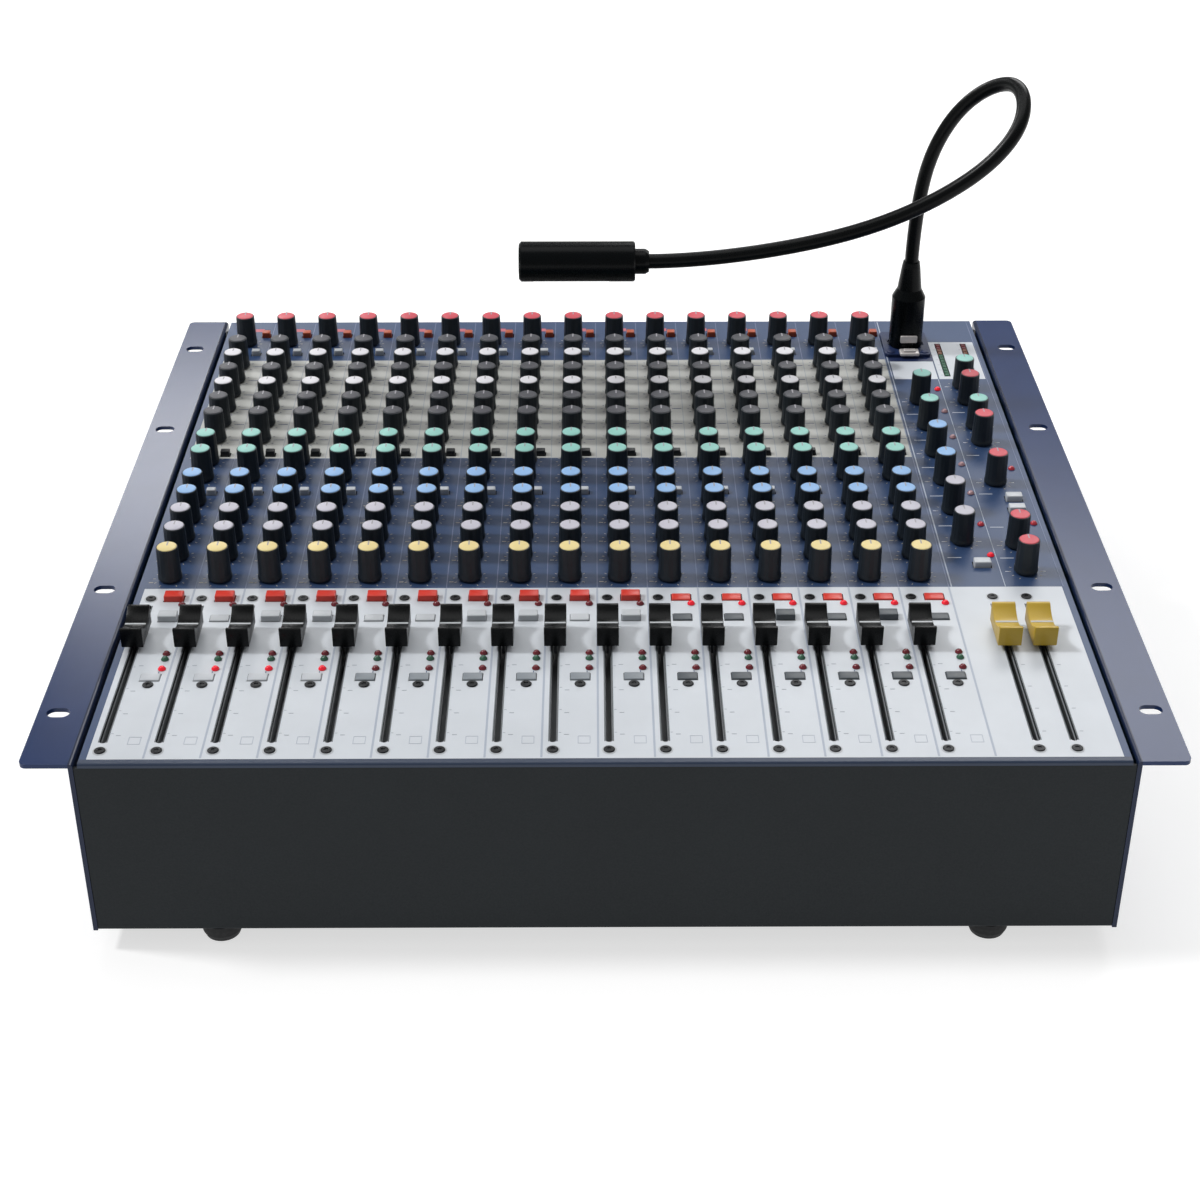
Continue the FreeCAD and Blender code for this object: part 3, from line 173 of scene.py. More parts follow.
# The level meters: columns, middle, length, and how many segments are green, then amber, then red.
METER_COLUMNS = (193.4, 208.0)
METER_MIDDLE, METER_LENGTH = 389.2, 42.6
METER_GREEN, METER_AMBER, METER_RED = 8, 2, 2

# What is printed on the panel: a strip's left edge from its slot, the fields' front and rear ends, and the
# master section's edges.
STRIP_EDGE = -4.6
WHITE_FIELD = (4.2, 139.2)
BLUE_FIELD = (139.8, 270.3)
GREY_FIELD = (270.8, 389.6)
GAIN_FIELD = (390.1, 441.5)
MASTER_EDGE, MASTER_DIVIDER, MASTER_RIGHT = 162.4, 187.6, 214.6
METER_FIELD = 363.5
MARK_THICKNESS = 0.05
MARK_MIDDLE = 0.045

# Marks of a strip: painted shade along the slot's edges, the levels beside the fader, its scale, and the label
# box's sides from the slot and its front and rear ends.
SLOT_EDGE = 1.75
SLOT_ENDS = (15.6, 124.4)
LEVELS = (74.0, 54.0, 36.7, 20.6)
SCALE_START, SCALE_STEP = 22.0, 17.0
LABEL_SIDES = (10.5, 15.5)
LABEL_ENDS = (14.2, 19.4)
SOLO_LINE = 66.5
AUX_WITH_DASHES = ("aux_3", "aux_4", "aux_5", "aux_6", "pan")

# Dashes left and right in the master section, and the meters' scale.
LEFT_DASHES = (320.0, 289.4, 258.6, 228.0, 197.4, 166.6)
RIGHT_DASHES = (322.0, 272.0, 230.0, 196.0, 166.0)
METER_SCALE_START, METER_SCALE_STEP = 369.0, 6.7

# The world's strength as light, and as the camera sees it behind the floor.
AMBIENT = 0.29
BACKDROP = 0.94

COLOURS = {
    "panel_blue": "2f4467",
    "panel_white": "c4c9cf",
    "eq_grey": "aeafab",
    "navy": "1d2a4e",
    "lip_slate": "2a374d",
    "separator": "646f8b",
    "strip_line": "a3abb9",
    "ink_rose": "b9606c",
    "ink_blue": "3b4a72",
    "ink_tan": "b9b2a2",
    "ink_grey": "8b939f",
    "ink_white": "d5d9e0",
}


def linear(code):
    """A hex colour as linear red, green, blue and alpha."""
    parts = [int(code[i:i + 2], 16) / 255 for i in (0, 2, 4)]
    return [c / 12.92 if c <= 0.04045 else ((c + 0.055) / 1.055) ** 2.4 for c in parts] + [1.0]


class Nodes:
    """A material's node tree, with short ways to add and join nodes."""

    def __init__(self, name):
        self.material = bpy.data.materials.new(name)
        self.material.use_nodes = True
        self.tree = self.material.node_tree
        self.shader = self.tree.nodes["Principled BSDF"]
        self.position = self.add("ShaderNodeTexCoord").outputs["Object"]

    def add(self, kind, inputs=(), **settings):
        node = self.tree.nodes.new(kind)
        for key, value in settings.items():
            setattr(node, key, value)
        for key, value in dict(inputs).items():
            self.put(node.inputs[key], value)
        return node

    def put(self, socket, value):
        if isinstance(value, bpy.types.NodeSocket):
            self.tree.links.new(value, socket)
        else:
            socket.default_value = value

    def noise(self, scale, detail):
        noise = self.add("ShaderNodeTexNoise", {"Vector": self.position, "Scale": scale, "Detail": detail})
        return noise.outputs["Fac"]

    def between(self, fac, low, high):
        """fac's middle range, spread over low to high."""
        inputs = {"Value": fac, "From Min": 0.3, "From Max": 0.7, "To Min": low, "To Max": high}
        return self.add("ShaderNodeMapRange", inputs).outputs[0]

    def mix(self, fac, first, second, kind="MIX"):
        node = self.add("ShaderNodeMix", data_type="RGBA", blend_type=kind)
        for index, value in ((0, fac), (6, first), (7, second)):
            self.put(node.inputs[index], value)
        return node.outputs[2]

    def bump(self, height, strength, distance=0.0002):
        node = self.add("ShaderNodeBump", {"Height": height, "Strength": strength, "Distance": distance})
        self.put(self.shader.inputs["Normal"], node.outputs[0])

    def inside(self, low, high):
        """1 inside a rectangle of the panel's drawing, 0 outside."""
        middle_point, half = (place(*low) + place(*high)) / 2 * MM, (place(*high) - place(*low)) / 2 * MM
        half.z = 1.0
        moved = self.add("ShaderNodeVectorMath", {0: self.position, 1: middle_point}, operation="SUBTRACT")
        size = self.add("ShaderNodeVectorMath", {0: moved.outputs[0]}, operation="ABSOLUTE")
        over = self.add("ShaderNodeVectorMath", {0: size.outputs[0], 1: half}, operation="SUBTRACT")
        split = self.add("ShaderNodeSeparateXYZ", {0: over.outputs[0]})
        worst = self.add("ShaderNodeMath", {0: split.outputs[0], 1: split.outputs[1]}, operation="MAXIMUM")
        return self.add("ShaderNodeMath", {0: worst.outputs[0], 1: 0.0}, operation="LESS_THAN").outputs[0]


def finish_material(nodes, colour, roughness, metallic=0.0, grain=900.0, depth=0.12, vary=0.06,
                    coat=0.0, specular=0.4, uneven=0.055):
    """Gives a tree its colour with slight variation, an uneven sheen and a fine surface."""
    broad = nodes.between(nodes.noise(38.0, 4.0), 1 - vary, 1 + vary)
    shade = nodes.add("ShaderNodeCombineColor", {0: broad, 1: broad, 2: broad}).outputs[0]
    nodes.put(nodes.shader.inputs["Base Color"], nodes.mix(1.0, colour, shade, "MULTIPLY"))
    fine = nodes.noise(grain, 3.0)
    nodes.put(nodes.shader.inputs["Roughness"], nodes.between(fine, roughness - uneven, roughness + uneven))
    nodes.put(nodes.shader.inputs["Metallic"], metallic)
    nodes.put(nodes.shader.inputs["Coat Weight"], coat)
    nodes.put(nodes.shader.inputs["Coat Roughness"], 0.12)
    nodes.put(nodes.shader.inputs["Specular IOR Level"], specular)
    nodes.bump(fine, depth)
    return nodes.material


def plain(name, code, roughness, **more):
    return finish_material(Nodes(name), linear(code), roughness, **more)


def glowing(name, code, strength):
    """A lit LED lens, brighter towards the top of its dome."""
    nodes = Nodes(name)
    normal = nodes.add("ShaderNodeTexCoord").outputs["Normal"]
    upward = nodes.add("ShaderNodeSeparateXYZ", {0: normal}).outputs[2]
    glow = nodes.add("ShaderNodeMapRange", {"Value": upward, "To Min": strength * 0.45, "To Max": strength})
    nodes.put(nodes.shader.inputs["Emission Color"], linear(code))
    nodes.put(nodes.shader.inputs["Emission Strength"], glow.outputs[0])
    return finish_material(nodes, linear(code), 0.22, coat=0.4)


# Fields of colour on the panel: front left corner, rear right corner, colour.
PRINT_EDGE = 213.9
LIP_DEPTH = 3.5
ZONES = [
    ((-240.0, -10.0), (240.0, LIP_DEPTH), "lip_slate"),
    ((-PRINT_EDGE, LIP_DEPTH), (PRINT_EDGE, 139.6), "panel_white"),
    ((-PRINT_EDGE, 270.5), (160.8, 389.9), "eq_grey"),
    ((163.4, 364.0), (187.6, 387.0), "panel_white"),
    ((188.4, 364.0), (214.0, 413.0), "panel_white"),
    ((163.4, 387.0), (188.4, 420.0), "navy"),
]


def panel_print():
    """The panel's paint, with its fields of colour, and painted shade: dark in the walls of its holes."""
    nodes = Nodes("panel_print")
    colour = linear(COLOURS["panel_blue"])
    for low, high, name in ZONES:
        colour = nodes.mix(nodes.inside(low, high), colour, linear(COLOURS[name]))
    # Painted shade: below the face, inside the printed field, the walls of the holes are painted dark.
    height = nodes.add("ShaderNodeSeparateXYZ", {0: nodes.position}).outputs[2]
    face = (PANEL_HIGH.z - 0.1) * MM
    below = nodes.add("ShaderNodeMath", {0: height, 1: face}, operation="LESS_THAN").outputs[0]
    field = nodes.inside((-PRINT_EDGE, LIP_DEPTH), (PRINT_EDGE, 440.0))
    hole_wall_shade = nodes.add("ShaderNodeMath", {0: below, 1: field}, operation="MULTIPLY").outputs[0]
    colour = nodes.mix(hole_wall_shade, colour, linear("24272b"))
    return finish_material(nodes, colour, 0.42, grain=1600.0, depth=0.1, vary=0.035)


def socket_paint():
    """Black mouldings at the rear, and a navy plate round the lamp's socket on the panel."""
    nodes = Nodes("socket_paint")
    height = nodes.add("ShaderNodeSeparateXYZ", {0: nodes.position}).outputs[2]
    face = (PANEL_HIGH.z - 1.0) * MM
    plate = nodes.add("ShaderNodeMath", {0: height, 1: face}, operation="GREATER_THAN").outputs[0]
    colour = nodes.mix(plate, linear("141619"), linear("1c2b50"))
    return finish_material(nodes, colour, 0.42, grain=1600.0, depth=0.1, specular=0.3)


def side_paint():
    """The side plates' paint, with painted shade: darker in the groove beside the panel."""
    nodes = Nodes("side_paint")
    axes = nodes.add("ShaderNodeSeparateXYZ", {0: nodes.position}).outputs
    # Painted shade: darker paint in the groove between the panel and the side plates.
    across = nodes.add("ShaderNodeMath", {0: axes[0]}, operation="ABSOLUTE").outputs[0]
    groove = nodes.add("ShaderNodeMath", {0: across, 1: GROOVE * MM}, operation="LESS_THAN").outputs[0]
    colour = nodes.mix(groove, linear("20325a"), linear("1b2640"))
    return finish_material(nodes, colour, 0.24, grain=1400.0, depth=0.01, vary=0.05, specular=0.26,
                           uneven=0.012)


MATERIALS = {
    "panel_print": panel_print(),
    "side_paint": side_paint(),
    "chassis_paint": plain("chassis_paint", "191f23", 0.6, grain=1100.0, depth=0.22, vary=0.05,
                           specular=0.25),
    "rubber": plain("rubber", "1f2022", 0.75, grain=700.0, depth=0.3, vary=0.15),
    "screw_black": plain("screw_black", "15171a", 0.42, metallic=0.3, grain=2400.0, specular=0.3),
    "steel": plain("steel", "a9adb3", 0.3, metallic=1.0, grain=2600.0, depth=0.08),
    "track_grey": plain("track_grey", "8d9194", 0.5, grain=1800.0),
    "brass": plain("brass", "c9a45c", 0.28, metallic=1.0, grain=2600.0, depth=0.06),
    "component": plain("component", "1f3a2c", 0.5),
    "board": plain("board", "1c5a35", 0.35, coat=0.3, vary=0.12),
    "knob_body": plain("knob_body", "20272d", 0.4, grain=2600.0, depth=0.2, vary=0.1, specular=0.35),
    "cap_red": plain("cap_red", "c64452", 0.42),
    "cap_dark": plain("cap_dark", "393a41", 0.45),
    "cap_white": plain("cap_white", "cecdd2", 0.42, vary=0.02),
    "cap_green": plain("cap_green", "87c0b6", 0.42),
    "cap_blue": plain("cap_blue", "84acd8", 0.42),
    "cap_lilac": plain("cap_lilac", "b6b4bf", 0.42, vary=0.03),
    "cap_yellow": plain("cap_yellow", "dbc889", 0.42, vary=0.03),
    "pointer": plain("pointer", "98969c", 0.5),
    "fader_black": plain("fader_black", "040607", 0.3, grain=2200.0, depth=0.1, vary=0.12, specular=0.16),
    "fader_yellow": plain("fader_yellow", "b89a34", 0.36, grain=2200.0, depth=0.1),
    "fader_line": plain("fader_line", "a9adb0", 0.4, vary=0.03),
    "button_red": plain("button_red", "cf3a2e", 0.36),
    "button_orange": plain("button_orange", "ad4c2c", 0.4),
    "button_grey": plain("button_grey", "b4b8bc", 0.42),
    "button_pale": plain("button_pale", "bdc1c6", 0.42),
    # A darker copy of the grey and slate caps: painted shade on the last strips' wide caps.
    "button_dark": plain("button_dark", "4b5156", 0.42),
    "button_black": plain("button_black", "1c1f22", 0.42),
    "button_slate": plain("button_slate", "82898f", 0.42),
    # Dark grey for the bars of painted shade along the fader slots.
    "slot_edge": plain("slot_edge", "5e6367", 0.6),
    "led_lit": glowing("led_lit", "e0182c", 0.4),
    "led_bright": plain("led_bright", "b92f3c", 0.2, coat=0.5, vary=0.1),
    "led_rose": plain("led_rose", "a98489", 0.25, coat=0.4, vary=0.1),
    "led_red": plain("led_red", "6e1a26", 0.2, coat=0.5, vary=0.12),
    "led_green": plain("led_green", "33604a", 0.2, coat=0.5, vary=0.12),
    "led_amber": plain("led_amber", "7c4c34", 0.2, coat=0.5, vary=0.12),
    "lamp_black": plain("lamp_black", "040709", 0.26, grain=1500.0, depth=0.04, vary=0.2, specular=0.12),
    "sleeve": plain("sleeve", "030506", 0.3, grain=1900.0, depth=0.1, vary=0.25, specular=0.16),
    "socket_paint": socket_paint(),
    "silver": plain("silver", "cbc6c4", 0.4, metallic=0.45, grain=2200.0, depth=0.08),
    "moulding": plain("moulding", "17191c", 0.45, grain=1600.0, depth=0.15),
}
for ink in ("separator", "strip_line", "ink_rose", "ink_blue", "ink_tan", "ink_grey", "ink_white", "navy"):
    MATERIALS[ink] = plain(ink, COLOURS[ink], 0.5, vary=0.03)


class Shape:
    """Closed forms in millimetres, gathered into one mesh whose faces name their materials."""

    def __init__(self):
        self.points = []
        self.faces = []
        self.paints = []

    def add(self, points, faces, paint_name):
        start = len(self.points)
        self.points += [Vector(p) for p in points]
        self.faces += [[start + i for i in face] for face in faces]
        self.paints += [paint_name] * len(faces)

    def stamp(self, other, at=(0, 0, 0), turn=None, repaint=None):
        """A moved copy of another shape, with some of its paints changed."""
        moved = Matrix.Translation(Vector(at)) @ (turn or Matrix.Identity(4))
        start = len(self.points)
        self.points += [moved @ p for p in other.points]
        self.faces += [[start + i for i in face] for face in other.faces]
        self.paints += [(repaint or {}).get(p, p) for p in other.paints]

    def turned(self, outline, paint_name, steps=40, at=(0, 0, 0), flute=None):
        """A closed turned form. outline runs from axis to axis; flute(height, angle) pulls the radius in."""
        rings, points, faces = [], [], []
        for radius, height in outline:
            count = 1 if radius == 0 else steps
            rings.append((len(points), count))
            for n in range(count):
                angle = 2 * math.pi * n / steps
                reach = radius - (flute(height, angle) if flute else 0.0)
                points.append(Vector((reach * math.cos(angle), reach * math.sin(angle), height)) + Vector(at))
        for (low, low_count), (high, high_count) in zip(rings, rings[1:]):
            for n in range(steps):
                after = (n + 1) % steps
                if low_count == 1:
                    faces.append((low, high + after, high + n))
                elif high_count == 1:
                    faces.append((low + n, low + after, high))
                else:
                    faces.append((low + n, low + after, high + after, high + n))
        self.add(points, faces, paint_name)

    def block(self, size, at, paint_name, bevel=0.0, steps=2):
        """A box about the point at, with its edges rounded."""
        mesh = bmesh.new()
        bmesh.ops.create_cube(mesh, size=1.0, matrix=Matrix.Diagonal((*size, 1.0)))
        self.take(mesh, at, paint_name, bevel, steps)

    def prism(self, outline, width, at, paint_name, bevel=0.0, steps=2):
        """An outline of (y, z) points drawn out along x, with its sharp edges rounded."""
        mesh = bmesh.new()
        sides = [[mesh.verts.new((x, y, z)) for y, z in outline] for x in (-width / 2, width / 2)]
        count = len(outline)
        mesh.faces.new(sides[0][::-1])
        mesh.faces.new(sides[1])
        for n in range(count):
            after = (n + 1) % count
            mesh.faces.new((sides[0][n], sides[0][after], sides[1][after], sides[1][n]))
        self.take(mesh, at, paint_name, bevel, steps)

    def take(self, mesh, at, paint_name, bevel, steps):
        if bevel:
            bmesh.ops.recalc_face_normals(mesh, faces=mesh.faces)
            sharp = [e for e in mesh.edges if e.calc_face_angle(0.0) > math.radians(30)]
            bmesh.ops.bevel(mesh, geom=sharp, offset=bevel, segments=steps, profile=0.5, affect="EDGES")
        mesh.verts.index_update()
        faces = [[v.index for v in face.verts] for face in mesh.faces]
        self.add([v.co + Vector(at) for v in mesh.verts], faces, paint_name)
        mesh.free()

    def mesh(self, name, sharp=34):
        """The Blender mesh, in metres, smooth except at its sharp edges."""
        used = sorted(set(self.paints))
        mesh = bpy.data.meshes.new(name)
        mesh.from_pydata([p * MM for p in self.points], [], self.faces)
        for paint_name in used:
            mesh.materials.append(MATERIALS[paint_name])
        mesh.polygons.foreach_set("material_index", [used.index(p) for p in self.paints])
        whole = bmesh.new()
        whole.from_mesh(mesh)
        bmesh.ops.recalc_face_normals(whole, faces=whole.faces)
        whole.to_mesh(mesh)
        whole.free()
        mesh.shade_smooth()
        mesh.set_sharp_from_angle(angle=math.radians(sharp))
        return mesh


def show(name, mesh, body, replaces=(), at=(0, 0, 0)):
    """Puts a mesh in the scene, riding on a body."""
    piece = bpy.data.objects.new(name, mesh)
    piece.location = Vector(at) * MM
    bpy.context.scene.collection.objects.link(piece)
    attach(piece, body)
    if replaces:
        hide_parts(*replaces)
    return piece


def make_camera():
    data = bpy.data.cameras.new("camera")
    data.lens = 63.83
    data.sensor_width = 36.0
    data.clip_start = 0.05
    camera = bpy.data.objects.new("camera", data)
    camera.location = (-0.00514, -0.93273, 0.60940)
    camera.rotation_euler = [math.radians(angle) for angle in (58.6257, 0.0258, -0.2463)]
    bpy.context.scene.collection.objects.link(camera)
    bpy.context.scene.camera = camera


def area_light(name, at, aim, size, power):
    data = bpy.data.lights.new(name, "AREA")
    data.shape = "RECTANGLE"
    data.size, data.size_y = size
    data.energy = power
    light = bpy.data.objects.new(name, data)
    light.location = at
    light.rotation_euler = (Vector(aim) - Vector(at)).to_track_quat("-Z", "Y").to_euler()
    bpy.context.scene.collection.objects.link(light)


def make_studio():
    """A pale floor under soft, even light, with a broad key from the left, before a pale backdrop."""
    floor_mesh = bpy.data.meshes.new("floor")
    far = 60
    corners = [(-far, -far, 0), (far, -far, 0), (far, far, 0), (-far, far, 0)]
    floor_mesh.from_pydata(corners, [], [(0, 1, 2, 3)])
    nodes = Nodes("floor")
    nodes.put(nodes.shader.inputs["Emission Color"], (1.0, 1.0, 1.0, 1.0))
    nodes.put(nodes.shader.inputs["Emission Strength"], 0.64)
    floor_paint = finish_material(nodes, (0.5, 0.5, 0.5, 1), 0.8, grain=30.0, depth=0.0, vary=0.01)
    floor_mesh.materials.append(floor_paint)
    floor = bpy.data.objects.new("floor", floor_mesh)
    bpy.context.scene.collection.objects.link(floor)
    world = bpy.data.worlds.new("studio")
    world.use_nodes = True
    tree = world.node_tree
    background = tree.nodes["Background"]
    background.inputs["Color"].default_value = (1, 1, 1, 1)
    seen = tree.nodes.new("ShaderNodeLightPath").outputs["Is Camera Ray"]
    strength = tree.nodes.new("ShaderNodeMapRange")
    strength.inputs["To Min"].default_value = AMBIENT
    strength.inputs["To Max"].default_value = BACKDROP
    tree.links.new(seen, strength.inputs["Value"])
    tree.links.new(strength.outputs[0], background.inputs["Strength"])
    bpy.context.scene.world = world
    bpy.context.scene.view_settings.view_transform = "Standard"
    key = bpy.data.lights.new("key", "SUN")
    key.energy = 1.85
    key.angle = math.radians(9)
    key_light = bpy.data.objects.new("key", key)
    key_light.rotation_euler = Vector((0.72, -0.10, -0.78)).to_track_quat("-Z", "Y").to_euler()
    bpy.context.scene.collection.objects.link(key_light)
    area_light("overhead", (0.0, 0.3, 1.6), (0, 0, 0.1), (1.6, 0.8), 6.0)
    area_light("back_left", (-0.45, 1.15, 0.70), (-0.22, 0.0, 0.1), (0.34, 0.22), 2.3)
    area_light("back_right", (0.52, 1.15, 1.06), (0.15, -0.1, 0.1), (0.9, 0.5), 8.0)


def dress_frame():
    """Finishes for the frame's own nodes that stay in view."""
    finishes = {
        "top_panel": "panel_print",
        "side_plate_left": "side_paint",
        "side_plate_right": "side_paint",
        "chassis_tray": "chassis_paint",
        "rear_panel": "chassis_paint",
        "rubber_feet": "rubber",
        "fader_tracks": "track_grey",
        "potentiometers": "component",
        "circuit_board": "board",
        "xlr_sockets": "socket_paint",
        "jack_sockets": "moulding",
        "mains_inlet": "moulding",
        "power_switch": "moulding",
        "power_supply": "steel",
        "lamp_plug": "lamp_black",
        "lamp_head": "lamp_black",
    }
    for node, finish in finishes.items():
        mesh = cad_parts[node].data
        mesh.materials.clear()
        mesh.materials.append(MATERIALS[finish])


def knob_shape():
    """A knob: fluted sides that narrow upwards, a skirt, a coloured cap with a pointer line."""
    def flute(height, angle):
        return 0.0 if height < 3.2 or height > 16.9 else 0.22 * (0.5 + 0.5 * math.cos(16 * angle)) ** 2

    knob = Shape()
    knob.turned([
        (0, 0.8), (5.4, 0.8), (5.7, 1.1), (5.7, 2.3), (5.45, 2.9), (5.45, 3.3), (5.35, 6.5), (5.25, 11.0),
        (5.14, 16.6), (5.1, 17.0), (4.95, 17.35), (4.7, 17.45), (0, 17.45),
    ], "knob_body", 48, flute=flute)
    knob.turned([(0, 17.0), (4.6, 17.0), (4.6, 17.5), (4.35, 17.75), (3.0, 17.9), (0, 17.95)], "cap", 40)
    knob.block((0.75, 4.0, 0.5), (0, 2.35, 17.72), "pointer", 0.08, 1)
    knob.turned([(0, -2.8), (3.0, -2.8), (3.0, 0.9), (0, 0.9)], "steel", 20)
    return knob


def tick_ring(paint_name):
    """Eleven short marks round a knob's travel."""
    ring = Shape()
    mark = Shape()
    mark.block((0.32, 1.1, MARK_THICKNESS), (0, 7.6, MARK_MIDDLE), paint_name)
    for n in range(11):
        ring.stamp(mark, turn=Matrix.Rotation(math.radians(-150 + 30 * n), 4, "Z"))
    return ring


def make_knobs():
    """Channel 1's knobs on their own bodies, all the others fixed, and the marks printed round them."""
    knob = knob_shape()
    fixed = Shape()
    marks = Shape()
    rings = {ink: tick_ring(ink) for ink in ("ink_blue", "ink_tan")}
    for name, cap in KNOB_ROWS:
        at = middle(f"knob_{name}")
        single = Shape()
        single.stamp(knob, repaint={"cap": cap})
        mesh = single.mesh(f"knob_{name}_mesh")
        show(f"knob_{name}_piece", mesh, f"knob_{name}", [f"knob_{name}"], place(at.x, at.y))
        in_equaliser = EQUALISER[0] < at.y < EQUALISER[1]
        for n in range(CHANNELS):
            spot = place(at.x + PITCH * n, at.y)
            marks.stamp(rings["ink_blue" if in_equaliser else "ink_tan"], spot)
            if n:
                fixed.stamp(knob, spot, repaint={"cap": cap})
    for x, y, cap in MASTER_KNOBS:
        fixed.stamp(knob, place(x, y), repaint={"cap": cap})
        marks.stamp(rings["ink_tan"], place(x, y))
    show("knobs_fixed_piece", fixed.mesh("knobs_fixed_mesh"), "console", ["fixed_knobs"])
    return marks


def button_shape(cap, width, depth):
    """A push-button cap with soft edges, and its dark stem."""
    button = Shape()
    button.block((width, depth, CAP_TOP + 2.0), (0, 0, CAP_TOP / 2 - 1.0), cap, 0.5, 3)
    button.block((2.4, 2.4, 1.6), (0, 0, -2.4), "button_black", 0.1, 1)
    return button


def make_buttons():
    """Channel 1's buttons on their own bodies, and every other one where it stands."""
    fixed = Shape()
    for name, cap, width, depth, pressed in BUTTONS:
        at = middle(f"button_{name}")
        button = button_shape(cap, width, depth)
        piece_name = f"button_{name}_piece"
        first = Shape()
        # Channel 1's solo cap is painted pale, like those of the first strips: a painted reflection.
        first.stamp(button, repaint={"button_slate": "button_pale"})
        mesh = first.mesh(f"button_{name}_mesh")
        where = place(at.x, at.y, -PRESS if 1 in pressed else 0.0)
        show(piece_name, mesh, f"button_{name}", [f"button_{name}"], where)
        for n in range(2, CHANNELS + 1):
            drop = PRESS if n in pressed else 0.0
            # Painted shade and reflection: the last strips' wide grey and slate caps get a darker copy, and the
            # first strips' slate caps a pale one.
            repaint = {}
            if n >= FIRST_DARK_STRIP and width > WIDE_CAP:
                repaint = {"button_slate": "button_dark", "button_grey": "button_dark"}
            elif n <= LAST_LIT_SOLO:
                repaint = {"button_slate": "button_pale"}
            fixed.stamp(button, place(at.x + PITCH * (n - 1), at.y, -drop), repaint=repaint)
    wide = button_shape("button_pale", *MASTER_BUTTON)
    for x, y in MASTER_BUTTONS:
        fixed.stamp(wide, place(x, y))
    mesh = fixed.mesh("buttons_fixed_mesh")
    show("buttons_fixed_piece", mesh, "console", ["push_switches"])


def fader_shape(width, length, paint_name):
    """A fader cap with a scoop between its front and rear lips, a light line, and its metal lever."""
    half, top, gap, dip, lip = length / 2, 12.0, 2.5, 3.8, 1.5
    scoop = []
    steps = 16
    for n in range(steps + 1):
        share = 2 * n / steps - 1
        scoop.append(((half - lip) * share, top - dip * (1 - share ** 2)))
    outline = [(-half + 0.25, gap), (half - 0.25, gap), (half, top)] + scoop[::-1] + [(-half, top)]
    fader = Shape()
    fader.prism(outline, width, (0, 0, 0), paint_name, 0.3, 2)
    fader.block((width - 0.5, 1.2, 0.3), (0, 0, top - dip + 0.05), "fader_line", 0.08, 1)
    fader.block((1.2, 4.0, 10.0), (0, 0, -2.0), "steel", 0.15, 1)
    return fader


def make_faders():
    """The channel faders and the two master faders, each on its own body."""
    channel = fader_shape(*CHANNEL_FADER, "fader_black").mesh("fader_mesh", 28)
    master = fader_shape(*MASTER_FADER, "fader_yellow").mesh("fader_master_mesh", 28)
    for n in range(1, CHANNELS + 1):
        node = f"fader_{n:02d}"
        at = middle(node)
        show(f"{node}_piece", channel, node, [node], place(at.x, at.y))
    for side in ("left", "right"):
        node = f"fader_master_{side}"
        at = middle(node)
        show(f"{node}_piece", master, node, [node], place(at.x, at.y))


def make_leds():
    """Round LEDs and the two segmented meters."""
    led = Shape()
    led.turned([(0, -4.0), (1.35, -4.0), (1.35, 0.05), (1.75, 0.05), (1.75, 0.45), (1.4, 0.9), (1.1, 1.35),
                (0.6, 1.65), (0, 1.75)], "lens", 20)
    lamps = Shape()
    for n, slot_x in enumerate(SLOTS, start=1):
        states = (
            (MUTE_LED, "led_lit" if n >= FIRST_DARK_STRIP else "led_red"),
            (HIGH_LED, "led_red"),
            (SIGNAL_LED, "led_green"),
            (SOLO_LED, "led_lit" if n <= LAST_LIT_SOLO else "led_red"),
        )
        for y, state in states:
            lamps.stamp(led, place(slot_x + LED_OFFSET, y), repaint={"lens": state})
    for x, y, state in MASTER_LEDS:
        lamps.stamp(led, place(x, y), repaint={"lens": state})
    colours = ["led_green"] * METER_GREEN + ["led_amber"] * METER_AMBER + ["led_red"] * METER_RED
    pitch = METER_LENGTH / len(colours)
    for x in METER_COLUMNS:
        for n, colour in enumerate(colours):
            y = METER_MIDDLE - METER_LENGTH / 2 + pitch * (n + 0.5)
            lamps.block((2.4, pitch - 0.6, 2.2), place(x, y, -0.9), colour, 0.15, 1)
    mesh = lamps.mesh("indicator_lamps_mesh")
    show("indicator_lamps_piece", mesh, "console", ["indicator_lamps"])


def bar(shape, low, high, paint_name):
    """A bar between two corners of the panel's drawing: print, and the painted shade along the fader slots."""
    size = (high[0] - low[0], high[1] - low[1], MARK_THICKNESS)
    shape.block(size, place((low[0] + high[0]) / 2, (low[1] + high[1]) / 2, MARK_MIDDLE), paint_name)


def upright(shape, x, y0, y1, width, paint_name):
    bar(shape, (x - width / 2, y0), (x + width / 2, y1), paint_name)


def across(shape, x0, x1, y, width, paint_name):
    bar(shape, (x0, y - width / 2), (x1, y + width / 2), paint_name)


